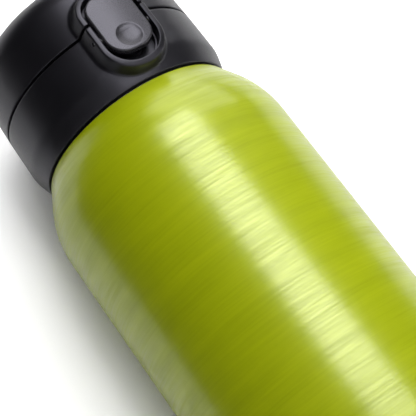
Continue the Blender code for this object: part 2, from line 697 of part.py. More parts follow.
def ring(name, inner, outer, low, high, material, parent):
    """Flat ring."""
    profile = [(inner, high), (outer, high), (outer, low), (inner, low)]
    return settle(turned(name, profile, PARTS, SMALL_STEPS), material, parent)


def make_spout(cap_axis):
    """Mouthpiece with a flange on the deck and a 45 degree seat inside its lip."""
    flange_r = SPOUT_RADIUS + SPOUT_FLANGE
    flange_top = SPOUT_FLANGE_Z + SPOUT_FLANGE_HEIGHT
    lip_r = SPOUT_BORE + SPOUT_SEAT
    lip_edge = (SPOUT_RADIUS - lip_r) / 2
    profile = [(lip_r, SPOUT_LIP), (SPOUT_RADIUS - lip_edge, SPOUT_LIP)]
    profile += [(SPOUT_RADIUS, SPOUT_LIP - lip_edge)]
    profile += [(SPOUT_RADIUS, flange_top), (flange_r, flange_top), (flange_r, SPOUT_FLANGE_Z)]
    profile += [(SPOUT_RADIUS, SPOUT_FLANGE_Z), (SPOUT_RADIUS, DECK_TOP - SPOUT_PLUG)]
    profile += [(SPOUT_BORE, DECK_TOP - SPOUT_PLUG), (SPOUT_BORE, SPOUT_LIP - SPOUT_SEAT)]
    settle(turned("spout", profile, PARTS, SMALL_STEPS), CORE_PLASTIC, cap_axis)
    ring("spout_gasket", SPOUT_RADIUS + FIT, flange_r - FIT, DECK_TOP + FIT, SPOUT_FLANGE_Z - FIT,
         SILICONE, cap_axis)


def make_lid(lid_axis, boss, pocket, hinge_bore):
    """Flip lid with the upper half of the latch frame and the hinge knuckles."""
    quarter = math.pi / 2
    flat = LID_SHOULDER_RADIUS - LID_FILLET
    outside = [(0, LID_TOP)] + arc(flat, LID_FILLET_Z, LID_FILLET, quarter, 0)
    outside += [(COLLAR_TOP_RADIUS, LID_BOTTOM - FIT), (0, LID_BOTTOM - FIT)]
    inside = [(0, LID_TOP - LID_TOP_WALL)]
    inside += arc(flat, LID_FILLET_Z, LID_FILLET - LID_TOP_WALL, quarter, 0)
    inside += [(COLLAR_TOP_RADIUS - LID_TOP_WALL, LID_BOTTOM - 2 * FIT), (0, LID_BOTTOM - 2 * FIT)]
    lid = turned("lid_shell", outside, PARTS)
    below = block("below_lid", (-LARGE, -LARGE, LID_BOTTOM - LARGE),
                  (LARGE, LARGE, LID_BOTTOM), CUTTERS)
    hook_low = BUTTON_TOP - HOOK_BELOW_TOP - HOOK_HEIGHT
    half = HOOK_WIDTH / 2 + CATCH_MARGIN
    catch_top = hook_low + HOOK_HEIGHT + CATCH_MARGIN
    catch = block("catch_window", (-half, -POCKET_FLOOR - FIT, catch_top - CATCH_HEIGHT),
                  (half, CAP_WALL + LID_TOP_WALL - POCKET_FLOOR, catch_top), CUTTERS)
    join_on(lid, boss)
    cut_away(lid, below, turned("lid_hollow", inside, CUTTERS), pocket, catch)
    spring_room = KNUCKLE_INNER - FIT / 2
    lug_low = LUG_INNER - FIT / 2
    lug_high = LUG_OUTER + FIT
    spans = [(-lug_high, -lug_low), (-spring_room, spring_room), (lug_low, lug_high)]
    cut_away(lid, *hinge_relief("lid_relief", spans))
    join_on(lid, *hinge_ears("lid_knuckle", KNUCKLE_INNER, KNUCKLE_INNER + KNUCKLE_WIDTH,
                             COLLAR_TOP_RADIUS, LID_BOTTOM + FIT, SEAM_Z + BARREL_RADIUS - FIT))
    cut_away(lid, hinge_bore)
    settle(lid, BLACK_PLASTIC, lid_axis)


def make_lid_inside(lid_axis):
    """Inner plate of the lid and the silicone stopper that hangs from it by a headed stem."""
    plate_top = PLATE_Z + LINER_PLATE
    edge = lid_inner_radius(plate_top) - FIT
    hole = STOPPER_STEM + FIT
    plate = [(hole, plate_top), (edge, plate_top), (edge, PLATE_Z), (hole, PLATE_Z)]
    settle(turned("lid_liner", plate, PARTS, SMALL_STEPS), CORE_PLASTIC, lid_axis)
    head_low = plate_top + FIT
    head_r = STOPPER_STEM + STOPPER_HEAD
    seat_lift = FIT * math.sqrt(2)  # clear distance FIT, measured square to a 45 degree seat
    seat_r = SPOUT_BORE + SPOUT_SEAT
    cone_top = SPOUT_LIP + seat_lift
    flange_z = STOPPER_TOP - STOPPER_FLANGE
    nose_r = SPOUT_BORE - FIT
    nose_z = cone_top - (seat_r - nose_r)
    head_top = head_low + STOPPER_HEAD
    nose_end = nose_z - STOPPER_FLANGE
    profile = [(0, head_top), (STOPPER_STEM, head_top), (head_r, head_low)]
    profile += [(STOPPER_STEM, head_low), (STOPPER_STEM, STOPPER_TOP), (SPOUT_RADIUS, STOPPER_TOP)]
    profile += [(SPOUT_RADIUS, flange_z), (seat_r + flange_z - cone_top, flange_z)]
    profile += [(nose_r, nose_z), (nose_r * STOPPER_NOSE, nose_end), (0, nose_end)]
    settle(turned("lid_stopper", profile, PARTS, SMALL_STEPS), SILICONE, lid_axis)


def make_hinge(cap_axis):
    """Hinge pin and the torsion spring wound round it."""
    end = LUG_OUTER - FIT
    pin = rod("hinge_pin", HINGE_PIN_RADIUS, (-end, HINGE_Y, SEAM_Z), (end, HINGE_Y, SEAM_Z), PARTS)
    settle(pin, STEEL, cap_axis)
    radius = HINGE_PIN_RADIUS + FIT + HINGE_SPRING_WIRE
    half = HINGE_SPRING_TURNS * HINGE_SPRING_PITCH / 2
    count = HINGE_SPRING_TURNS * COIL_STEPS
    points = [Vector((-half, HINGE_Y - radius, SEAM_Z - HINGE_SPRING_LEG))]
    for step in range(count + 1):
        angle = math.tau * step / COIL_STEPS
        x = -half + HINGE_SPRING_PITCH * step / COIL_STEPS
        across = radius * math.cos(angle)
        points.append(Vector((x, HINGE_Y - across, SEAM_Z + radius * math.sin(angle))))
    points.append(Vector((half, HINGE_Y - radius, SEAM_Z + HINGE_SPRING_LEG)))
    wire_coil("hinge_spring", points, HINGE_SPRING_WIRE, STEEL, cap_axis)


def make_latch(cap_axis, latch_axis, latch_bore):
    """Rocking latch button with its thumb dish, hook and barrel, then its pin and spring."""
    foot = SEAM_Z - FRAME_BELOW + FRAME_RIM + BUTTON_FOOT_GAP
    top_corner = FRAME_TOP_CORNER - BUTTON_INSET
    outline = rounded_outline(BUTTON_HALF, foot, BUTTON_TOP, BUTTON_FOOT_CORNER, top_corner)
    button = slab("latch_button", outline, BUTTON_FACE, BUTTON_BACK, PARTS)
    edge = button.modifiers.new("edge", "BEVEL")
    edge.width = BUTTON_EDGE
    edge.segments = 2
    edge.limit_method = "ANGLE"
    edge.angle_limit = BEVEL_ANGLE
    sphere = (DISH_RADIUS ** 2 + DISH_DEPTH ** 2) / (2 * DISH_DEPTH)
    spread = math.asin(DISH_RADIUS / sphere)
    profile = [(0, FIT), (DISH_RADIUS, FIT)]
    profile += arc(0, sphere - DISH_DEPTH, sphere, spread - math.pi / 2, -math.pi / 2, CORNER_STEPS)
    profile[-1] = (0, -DISH_DEPTH)
    dish = turned("thumb_dish", profile, CUTTERS, SMALL_STEPS // 2)
    dish.matrix_world = (Matrix.Translation((0, -BUTTON_FACE, SEAM_Z - DISH_BELOW))
                         @ Matrix.Rotation(math.pi / 2, 4, "X"))
    barrel_reach = Vector((BUTTON_HALF - BUTTON_EDGE, 0, 0))
    barrel = rod("latch_barrel", LATCH_PIN_RADIUS + PIN_PLAY + LATCH_BARREL_WALL,
                 LATCH_POINT - barrel_reach, LATCH_POINT + barrel_reach, CUTTERS)
    hook_top = BUTTON_TOP - HOOK_BELOW_TOP
    hook = block("latch_hook", (-HOOK_WIDTH / 2, -BUTTON_BACK - BUTTON_EDGE, hook_top - HOOK_HEIGHT),
                 (HOOK_WIDTH / 2, -POCKET_FLOOR - FIT, hook_top), CUTTERS)
    seat_y = -BUTTON_BACK - SPRING_SEAT_BUTTON
    seat = rod("button_spring_seat", LATCH_SPRING_RADIUS + 2 * FIT, (0, seat_y, LATCH_SPRING_Z),
               (0, -POCKET_FLOOR, LATCH_SPRING_Z), CUTTERS)
    cut_away(button, dish)
    join_on(button, barrel, hook)
    cut_away(button, latch_bore, seat)
    settle(button, BUTTON_PLASTIC, latch_axis)

    pin_reach = Vector((FRAME_WIDTH / 2 + FRAME_DRAFT * LATCH_PIN_DEPTH - LATCH_PIN_RECESS, 0, 0))
    pin = rod("latch_pin", LATCH_PIN_RADIUS, LATCH_POINT - pin_reach, LATCH_POINT + pin_reach, PARTS)
    settle(pin, STEEL, cap_axis)

    wire = LATCH_SPRING_WIRE
    first = seat_y + FIT + wire / 2
    last = SPRING_SEAT_FLOOR - POCKET_FLOOR - FIT - wire / 2
    count = round(LATCH_SPRING_TURNS * COIL_STEPS)
    points = []
    for step in range(count + 1):
        angle = math.tau * step / COIL_STEPS
        y = first + (last - first) * step / count
        x = LATCH_SPRING_RADIUS * math.cos(angle)
        points.append(Vector((x, y, LATCH_SPRING_Z + LATCH_SPRING_RADIUS * math.sin(angle))))
    wire_coil("latch_spring", points, wire, STEEL, cap_axis)


def make_bottle():
    cap_axis = joint_axis("cap_axis", (0, 0, BODY_HEIGHT))
    lid_axis = joint_axis("lid_axis", HINGE_POINT, cap_axis)
    latch_axis = joint_axis("latch_axis", LATCH_POINT, cap_axis)
    make_outer_shell()
    make_inner_liner()
    make_base()
    boss = frame_boss()
    pocket = slab("latch_pocket", frame_shape(FRAME_RIM), FRAME_FACE + FIT, POCKET_FLOOR, CUTTERS)
    hinge_bore = rod("hinge_bore", HINGE_PIN_RADIUS + PIN_PLAY, (-LUG_OUTER - FIT, HINGE_Y, SEAM_Z),
                     (LUG_OUTER + FIT, HINGE_Y, SEAM_Z), CUTTERS)
    reach = Vector((FRAME_WIDTH, 0, 0))
    latch_bore = rod("latch_bore", LATCH_PIN_RADIUS + PIN_PLAY, LATCH_POINT - reach,
                     LATCH_POINT + reach, CUTTERS)
    make_collar(cap_axis, boss, pocket, hinge_bore, latch_bore)
    make_thread_insert(cap_axis)
    ring("neck_gasket", LINER_NECK - SHEET, NECK_RADIUS, LIP_TOP + FIT, DECK_Z - FIT, SILICONE, cap_axis)
    make_spout(cap_axis)
    make_lid(lid_axis, boss, pocket, hinge_bore)
    make_lid_inside(lid_axis)
    make_hinge(cap_axis)
    make_latch(cap_axis, latch_axis, latch_bore)


make_bottle()
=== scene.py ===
"""Looks of the insulated water bottle: lime lacquer over brushed steel, with a black flip-lid cap.
"""

import math

import bmesh
import bpy
from mathutils import Matrix, Vector
from mathutils.geometry import delaunay_2d_cdt


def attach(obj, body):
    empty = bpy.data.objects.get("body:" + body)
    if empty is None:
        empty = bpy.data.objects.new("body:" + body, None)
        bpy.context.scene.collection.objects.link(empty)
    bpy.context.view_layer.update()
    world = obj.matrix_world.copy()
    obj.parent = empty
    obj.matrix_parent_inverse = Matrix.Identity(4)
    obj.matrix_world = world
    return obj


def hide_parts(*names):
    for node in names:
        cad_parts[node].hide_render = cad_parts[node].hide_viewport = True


MM = 0.001

# Flask
BODY_RADIUS = 36.5
SHEET = 0.8
SHOULDER_TOP = 29.6
SHOULDER_CORNER = 153.05  # height where the shoulder's cone would meet the wall
SHOULDER_ROUND = 30.0
NECK_RADIUS = 23.5
LEDGE = 165.6
NECK_END = 180.1
FOOT_INNER = 30.5
FOOT_HEIGHT = 4.0
LINER_RADIUS = 33.3
LINER_BORE = 21.6
LINER_NECK = 22.4
LINER_FLOOR = 6.2
LINER_SHOULDER = 162.4
LIP_TOP = 181.2

# Thread
THREAD_LEAD = 9.0
THREAD_TURN = math.radians(270)
THREAD_DEPTH = 1.1
THREAD_RUNOUT = math.radians(24)
THREAD_LEVEL = 168.8
THREAD_ANGLE = 0.02
THREAD_SUNK = 0.4  # how far a ridge starts inside its wall
THREAD_STEPS = 120
CORE_THREAD_LEVEL = 168.95
CORE_THREAD_ANGLE = math.pi / 2 + THREAD_ANGLE
CORE_ROOT = 25.2

# Cap
COLLAR_FOOT_RADIUS = 29.9
COLLAR_FOOT = 166.3
COLLAR_WIDE = 172.3
CAP_RADIUS = 31.6
SEAM_RADIUS = 31.448
COLLAR_TOP = 185.0
LID_FOOT = 185.8
SEAM = 185.4
LID_TOP_RADIUS = 30.55
LID_TOP = 206.95
LID_ROUND = 9.5
CAP_WALL = 1.8
LID_WALL = 2.0
SEAM_EDGE = 0.25

# Latch frame and button
FRAME_HALF = 9.2
FRAME_FOOT = 168.6
FRAME_TOP = 194.85
FRAME_CORNER_LOW = 8.6
FRAME_CORNER_TOP = 7.0
FRAME_FACE = 34.5
FRAME_DRAFT = 0.27
FRAME_DRAFT_LOW = 0.17
FRAME_RIM = 1.5
RIM_SLOPE = 0.3  # fall of the rim face from its inner to its outer edge
RIM_SLOPE_LOW = 0.4  # further fall at the frame's foot
RIM_OUTER_EDGE = 0.6
RIM_INNER_EDGE = 0.3
FOOT_FILLET = 1.4
FOOT_FILLET_LOW = 0.8
FOOT_FILLET_RISE = 6.0
FILLET_REACH = 7.0  # the fillet ends on the cap wall within this distance
FILLET_TRIES = 40
SLOPE_STEP = 0.02
POCKET_DEPTH = 3.5
WELL_TOP = 178.4
WELL_FLOOR = 29.2
WELL_BACK = 28.3
WELL_PAD = 0.7
WELL_LEDGE = 0.6
WELL_WALL = 0.25
WELL_LAP = 0.3  # overlap of the well's solids with the wall that they join
BUTTON_FACE = 34.9
BUTTON_BACK = 32.7
BUTTON_HALF = 6.95
BUTTON_FOOT = 173.25
BUTTON_TOP = 192.35
BUTTON_CORNER_LOW = 5.7
BUTTON_CORNER_TOP = 4.75
BUTTON_EDGE = 0.6
BUTTON_CROWN = 60.0  # radius of the button's face across its width
DISH_Z = 177.85
DISH_RADIUS = 3.65
DISH_DEPTH = 0.6
DISH_EDGE = 0.7
DISH_LIP = 0.28
DISH_BOWL = 0.86  # share of the dish's radius that its curve takes
DISH_CURVE = 3.0  # two is a round bowl, more is flatter with a steeper wall
LATCH_Y = -33.0
LATCH_Z = 180.35
LATCH_BORE = 0.6
LATCH_PIN = 0.5
LATCH_PIN_END = 9.2
LATCH_PIN_EDGE = 0.12
LATCH_BOSS = 1.0
LATCH_BOSS_IN = 7.25
LATCH_BOSS_OUT = 8.45
LATCH_BOSS_EDGE = 0.1
LATCH_BOSS_STEPS = 52
LATCH_DRILL = 18.6  # reach of the bore that is drilled across the frame
BUTTON_DRILL = 9.0
LATCH_BARREL = 1.6
LATCH_BARREL_HALF = 6.5
LATCH_SEAT_FLOOR = -30.4
BUTTON_SEAT_FLOOR = -33.4
BUTTON_SEAT_END = -31.0
BUTTON_COIL = 1.4
BUTTON_COIL_TURNS = 2.5
BUTTON_COIL_FRONT = -32.925
BUTTON_COIL_BACK = -30.875
BUTTON_WIRE = 0.35
HOOK = ((-3.5, -33.1, 190.05), (3.5, -31.3, 191.45))  # two opposite corners
CATCH_WINDOW = ((-4.3, -31.3, 188.25), (4.3, -27.2, 192.25))
LATCH_SPRING_Z = 176.25
LATCH_SPRING_SEAT = 2.0
LATCH_SPRING_POST = 2.8
POST_PROUD = 0.02

# Hinge
HINGE_Y = 33.1
HINGE_PIN = 1.0
HINGE_PIN_EDGE = 0.15
HINGE_BORE = 1.1
BARREL = 3.0
RELIEF = 3.6
KNUCKLE_IN = 4.2
KNUCKLE_OUT = 7.7
LUG_IN = 8.0
LUG_OUT = 12.0
LUG_GAP = 0.15
PIN_INSET = 0.3
BARREL_EDGE = 0.3
ARM_INSET = 0.25
ARM_EDGE = 0.2
CUTTER_EDGE = 0.05
LID_COIL = 2.0
LID_COIL_TURNS = 5
LID_COIL_PITCH = 1.25
LID_COIL_LEG = 2.1
LID_WIRE = 0.7

# Fineness of the meshes
CHORD = 0.004  # largest distance between an arc and its chords
BODY_STEPS = 192
CAP_STEPS = 180
SMALL_STEPS = 96
WALL_STEP = 1.2
CORNER_STEPS = 22
OUTLINE_STEP = 0.9
DISH_STEPS = 20
FILLET_STEPS = 8
SEAM_STEPS = 3
BAR_STEPS = 40
COIL_STEPS = 36
WIRE_STEPS = 14
SHARP = math.radians(32)
WELD = 0.002

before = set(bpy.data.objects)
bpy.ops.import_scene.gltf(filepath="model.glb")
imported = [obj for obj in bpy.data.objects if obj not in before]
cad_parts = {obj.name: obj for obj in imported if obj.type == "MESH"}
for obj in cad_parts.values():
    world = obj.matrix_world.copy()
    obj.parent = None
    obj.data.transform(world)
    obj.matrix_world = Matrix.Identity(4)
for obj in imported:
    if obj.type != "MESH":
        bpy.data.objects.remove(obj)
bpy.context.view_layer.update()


def arc_points(centre, radius, first, turn):
    """Points along an arc, close enough together for CHORD."""
    steps = max(2, math.ceil(abs(turn) / math.sqrt(8 * CHORD / radius)))
    points = []
    for step in range(steps + 1):
        angle = first + turn * step / steps
        points.append(Vector((centre[0] + radius * math.cos(angle), centre[1] + radius * math.sin(angle))))
    return points


def filleted(corners, closed=False):
    """Line through (across, along, radius) corners with each corner rounded by its radius."""
    points = []
    last = len(corners) - 1
    for index, (across, along, radius) in enumerate(corners):
        here = Vector((across, along))
        if radius == 0 or (not closed and index in (0, last)):
            points.append(here)
            continue
        before = (Vector(corners[index - 1][:2]) - here).normalized()
        after = (Vector(corners[0 if index == last else index + 1][:2]) - here).normalized()
        half = before.angle(after) / 2
        centre = here + (before + after).normalized() * (radius / math.sin(half))
        start = here + before * (radius / math.tan(half)) - centre
        end = here + after * (radius / math.tan(half)) - centre
        first = math.atan2(start.y, start.x)
        turn = (math.atan2(end.y, end.x) - first + math.pi) % math.tau - math.pi
        points += arc_points(centre, radius, first, turn)
    return points


def refined(profile, longest):
    """The same line with its long stretches divided."""
    points = [profile[0]]
    for first, second in zip(profile, profile[1:]):
        steps = max(1, math.ceil((second - first).length / longest))
        points += [first.lerp(second, step / steps) for step in range(1, steps + 1)]
    return points


class Shape:
    """Vertices in millimetres and faces of one piece, gathered before its mesh is made."""

    def __init__(self):
        self.points = []
        self.faces = []

    def add(self, point):
        self.points.append(Vector(point))
        return len(self.points) - 1

    def ring(self, points):
        return [self.add(point) for point in points]

    def span(self, first, second, closed=True):
        """Faces between two rings. A ring of one point closes to a tip."""
        count = max(len(first), len(second))
        for index in range(count if closed else count - 1):
            after = (index + 1) % count
            corners = [first[index % len(first)], first[after % len(first)],
                       second[after % len(second)], second[index % len(second)]]
            self.faces.append(list(dict.fromkeys(corners)))

    def loft(self, rings, cap_first=False, cap_last=False):
        made = [self.ring(ring) for ring in rings]
        for first, second in zip(made, made[1:]):
            self.span(first, second)
        if cap_first:
            self.faces.append(made[0][::-1])
        if cap_last:
            self.faces.append(made[-1])
        return made

    def turned(self, profile, steps, closed=False):
        """Turn a profile of (radius, height) about Z."""
        rings = [around(radius, height, steps) for radius, height in profile]
        made = self.loft(rings)
        if closed:
            self.span(made[-1], made[0])
        return self

    def drawn(self):
        """Welded working mesh in millimetres. A face whose corners are already taken is left out."""
        work = bmesh.new()
        verts = [work.verts.new(point) for point in self.points]
        for face in self.faces:
            try:
                work.faces.new([verts[index] for index in face])
            except ValueError:
                continue
        bmesh.ops.remove_doubles(work, verts=work.verts, dist=WELD)
        return work

    def mesh(self, name):
        """Mesh in metres with its faces turned outwards."""
        mesh = bpy.data.meshes.new(name)
        work = self.drawn()
        bmesh.ops.recalc_face_normals(work, faces=work.faces)
        bmesh.ops.scale(work, vec=(MM, MM, MM), verts=work.verts)
        work.to_mesh(mesh)
        work.free()
        return mesh


def circle(steps):
    """Cosine and sine of equal steps round a full turn."""
    return [(math.cos(math.tau * step / steps), math.sin(math.tau * step / steps)) for step in range(steps)]


def around(radius, height, steps):
    """Ring of points about Z that starts at the front, or one point on the axis."""
    if radius < WELD:
        return [(0, 0, height)]
    turn = math.tau / steps
    return [(radius * math.sin(turn * step), -radius * math.cos(turn * step), height)
            for step in range(steps)]


def closed_loft(rings):
    """Shape through rings, closed at both ends."""
    shape = Shape()
    shape.loft(rings, cap_first=True, cap_last=True)
    return shape


def bar_along_x(x_first, x_last, radius, y, z, chamfer, steps=SMALL_STEPS // 2):
    """Round bar along X with chamfered ends."""
    rings = []
    for x, size in ((x_first, radius - chamfer), (x_first + chamfer, radius),
                    (x_last - chamfer, radius), (x_last, radius - chamfer)):
        rings.append([(x, y + size * across, z + size * up) for across, up in circle(steps)])
    return closed_loft(rings)


def slab_along_x(x_first, x_last, outline, chamfer):
    """Convex outline in y and z carried along X, with chamfered ends."""
    middle = sum((Vector(point) for point in outline), Vector((0, 0))) / len(outline)
    rings = []
    for x, shrink in ((x_first, chamfer), (x_first + chamfer, 0), (x_last - chamfer, 0), (x_last, chamfer)):
        ring = []
        for point in outline:
            inward = (middle - Vector(point)).normalized() * shrink
            ring.append((x, point[0] + inward.x, point[1] + inward.y))
        rings.append(ring)
    return closed_loft(rings)


def tube(path, radius, steps):
    """Round wire along a path, with closed ends."""
    rings = []
    side = Vector((0.31, 0.57, 0.76))  # any way that no path runs along
    for index, point in enumerate(path):
        ahead = path[min(index + 1, len(path) - 1)] - path[max(index - 1, 0)]
        ahead.normalize()
        side = (side - ahead * side.dot(ahead)).normalized()
        other = ahead.cross(side)
        rings.append([point + radius * (across * side + up * other) for across, up in circle(steps)])
    return closed_loft(rings)


def placed(name, data):
    """New object in the scene."""
    item = bpy.data.objects.new(name, data)
    bpy.context.scene.collection.objects.link(item)
    return item


def welded(mesh):
    """The same mesh with doubled points taken out."""
    work = bmesh.new()
    work.from_mesh(mesh)
    bmesh.ops.remove_doubles(work, verts=work.verts, dist=WELD * MM / 4)
    work.to_mesh(mesh)
    work.free()
    return mesh


def carved(name, mesh, steps):
    """Mesh after Boolean steps, each an operation and the shape it works with."""
    for operation, shape in steps:
        item = placed(name, mesh)
        helper = placed(f"{name}_helper", shape.mesh(f"{name}_helper"))
        change = item.modifiers.new(helper.name, "BOOLEAN")
        change.operation = operation
        change.solver = "EXACT"
        change.object = helper
        bpy.context.view_layer.update()
        graph = bpy.context.evaluated_depsgraph_get()
        mesh = welded(bpy.data.meshes.new_from_object(item.evaluated_get(graph)))
        for thing in (item, helper):
            bpy.data.objects.remove(thing, do_unlink=True)
    return mesh


def piece(name, mesh, body, slot, material, *nodes):
    """Finished piece that rides on a body and stands for CAD nodes."""
    mesh.materials.clear()
    mesh.materials.append(material)
    mesh.shade_smooth()
    mesh.set_sharp_from_angle(angle=SHARP)
    item = placed(name, mesh)
    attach(item, body)
    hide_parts(*nodes)


def turned_piece(name, corners, body, slot, material, node, steps=SMALL_STEPS):
    """Piece turned about Z from an outline with rounded corners, closed unless it starts on the axis."""
    closed = corners[0][0] > 0
    shape = Shape().turned(filleted(corners, closed), steps, closed)
    piece(name, shape.mesh(name), body, slot, material, node)


# Node groups

NOISE_LOW = 0.3
NOISE_HIGH = 0.7


def new_group(name, inputs, outputs):
    """Shader node group with named value sockets. Inputs are (name, type, default)."""
    group = bpy.data.node_groups.new(name, "ShaderNodeTree")
    for socket, kind, default in inputs:
        made = group.interface.new_socket(name=socket, in_out="INPUT", socket_type=kind)
        if default is not None:
            made.default_value = default
    for socket, kind in outputs:
        group.interface.new_socket(name=socket, in_out="OUTPUT", socket_type=kind)
    return group, group.nodes.new("NodeGroupInput"), group.nodes.new("NodeGroupOutput")


def noise(tree, vector, scale, detail, roughness=0.5):
    node = tree.nodes.new("ShaderNodeTexNoise")
    node.inputs["Scale"].default_value = scale
    node.inputs["Detail"].default_value = detail
    node.inputs["Roughness"].default_value = roughness
    tree.links.new(vector, node.inputs["Vector"])
    return node.outputs["Fac"]


def combine(tree, operation, first, second):
    """Math node on sockets or numbers."""
    node = tree.nodes.new("ShaderNodeMath")
    node.operation = operation
    for socket, value in zip(node.inputs, (first, second)):
        if isinstance(value, (int, float)):
            socket.default_value = value
        else:
            tree.links.new(value, socket)
    return node.outputs[0]


def vector_math(tree, operation, first, second=None):
    """Outputs of a Vector Math node on a socket and a socket or fixed vector."""
    node = tree.nodes.new("ShaderNodeVectorMath")
    node.operation = operation
    tree.links.new(first, node.inputs[0])
    if isinstance(second, bpy.types.NodeSocket):
        tree.links.new(second, node.inputs[1])
    elif second is not None:
        node.inputs[1].default_value = second
    return node.outputs


def mapped(tree, value, low, high, to_low, to_high, smooth=False):
    """Value carried from one range to another, and held at its ends."""
    node = tree.nodes.new("ShaderNodeMapRange")
    if smooth:
        node.interpolation_type = "SMOOTHSTEP"
    node.inputs["From Min"].default_value = low
    node.inputs["From Max"].default_value = high
    node.inputs["To Min"].default_value = to_low
    node.inputs["To Max"].default_value = to_high
    tree.links.new(value, node.inputs["Value"])
    return node.outputs["Result"]


def blended(tree, factor, first, second):
    """Colour between two colours or colour sockets."""
    node = tree.nodes.new("ShaderNodeMix")
    node.data_type = "RGBA"
    tree.links.new(factor, node.inputs["Factor"])
    colours = [socket for socket in node.inputs if socket.type == "RGBA"]
    for socket, value in zip(colours, (first, second)):
        if isinstance(value, tuple):
            socket.default_value = (*value, 1)
        else:
            tree.links.new(value, socket)
    return next(socket for socket in node.outputs if socket.type == "RGBA")


def between(tree, value, low, high):
    """Value from zero to one carried to a range."""
    return mapped(tree, value, 0.0, 1.0, low, high)


def evened(tree, value):
    """Noise spread over zero to one."""
    return mapped(tree, value, NOISE_LOW, NOISE_HIGH, 0.0, 1.0)


def weighed(tree, first, second, share):
    """Sum of two values, the first by its share and the second by the rest."""
    return combine(tree, "ADD", combine(tree, "MULTIPLY", first, share),
                   combine(tree, "MULTIPLY", second, 1 - share))


def brushing_group():
    """Brush lines that run round the axis: fine lines and longer streaks."""
    group, start, end = new_group(
        "turned_brushing",
        [("Position", "NodeSocketVector", None), ("Line Reach", "NodeSocketFloat", 40.0),
         ("Line Pitch", "NodeSocketFloat", 2600.0)],
        [("Lines", "NodeSocketFloat"), ("Streaks", "NodeSocketFloat"), ("Height", "NodeSocketFloat")])
    stretched = []
    for reach_share, pitch_share in ((1.0, 1.0), (0.6, 0.16)):
        scale = group.nodes.new("ShaderNodeCombineXYZ")
        reach = combine(group, "MULTIPLY", start.outputs["Line Reach"], reach_share)
        pitch = combine(group, "MULTIPLY", start.outputs["Line Pitch"], pitch_share)
        group.links.new(reach, scale.inputs["X"])
        group.links.new(reach, scale.inputs["Y"])
        group.links.new(pitch, scale.inputs["Z"])
        product = vector_math(group, "MULTIPLY", start.outputs["Position"], scale.outputs["Vector"])
        stretched.append(product["Vector"])
    lines = noise(group, stretched[0], 1.0, 3.0, 0.65)
    streaks = noise(group, stretched[1], 1.0, 2.0)
    group.links.new(evened(group, lines), end.inputs["Lines"])
    group.links.new(evened(group, streaks), end.inputs["Streaks"])
    group.links.new(weighed(group, lines, streaks, 0.7), end.inputs["Height"])
    return group


def moulding_group():
    """Fine spark-eroded grain of moulded plastic with a faint slow unevenness."""
    group, start, end = new_group(
        "moulded_grain",
        [("Position", "NodeSocketVector", None), ("Grain", "NodeSocketFloat", 3200.0)],
        [("Grain", "NodeSocketFloat"), ("Uneven", "NodeSocketFloat"), ("Height", "NodeSocketFloat")])
    scaled = vector_math(group, "MULTIPLY", start.outputs["Position"], start.outputs["Grain"])
    grain = noise(group, scaled["Vector"], 1.0, 3.0, 0.6)
    uneven = noise(group, start.outputs["Position"], 90.0, 2.0)
    group.links.new(evened(group, grain), end.inputs["Grain"])
    group.links.new(evened(group, uneven), end.inputs["Uneven"])
    group.links.new(grain, end.inputs["Height"])
    return group


BRUSHING = brushing_group()
MOULDING = moulding_group()


# Materials


def start_material(name):
    """Material, its tree, its Principled shader and the position socket of the piece."""
    material = bpy.data.materials.new(name)
    material.use_nodes = True
    tree = material.node_tree
    shader = tree.nodes["Principled BSDF"]
    place = tree.nodes.new("ShaderNodeTexCoord").outputs["Object"]
    return material, tree, shader, place


def use_group(tree, group, place, **values):
    node = tree.nodes.new("ShaderNodeGroup")
    node.node_tree = group
    tree.links.new(place, node.inputs["Position"])
    for name, value in values.items():
        node.inputs[name.replace("_", " ")].default_value = value
    return node.outputs


def raise_by(tree, shader, height, strength, distance):
    bump = tree.nodes.new("ShaderNodeBump")
    bump.inputs["Strength"].default_value = strength
    bump.inputs["Distance"].default_value = distance * MM
    tree.links.new(height, bump.inputs["Height"])
    tree.links.new(bump.outputs["Normal"], shader.inputs["Normal"])


def brush_round_axis(tree, shader, amount):
    """Anisotropy of brush lines that run round Z: its gloss spreads along the axis."""
    tangent = tree.nodes.new("ShaderNodeTangent")
    tangent.direction_type = "RADIAL"
    tangent.axis = "Z"
    tree.links.new(tangent.outputs["Tangent"], shader.inputs["Tangent"])
    shader.inputs["Anisotropic"].default_value = amount
    shader.inputs["Anisotropic Rotation"].default_value = 0.25


LIME = (0.405, 0.475, 0.003)
LIME_DEEP = (0.305, 0.369, 0.0015)
BARE_STEEL = (0.62, 0.61, 0.59)
BARE_STEEL_DEEP = (0.47, 0.465, 0.45)
LACQUER_END = 165.45 * MM


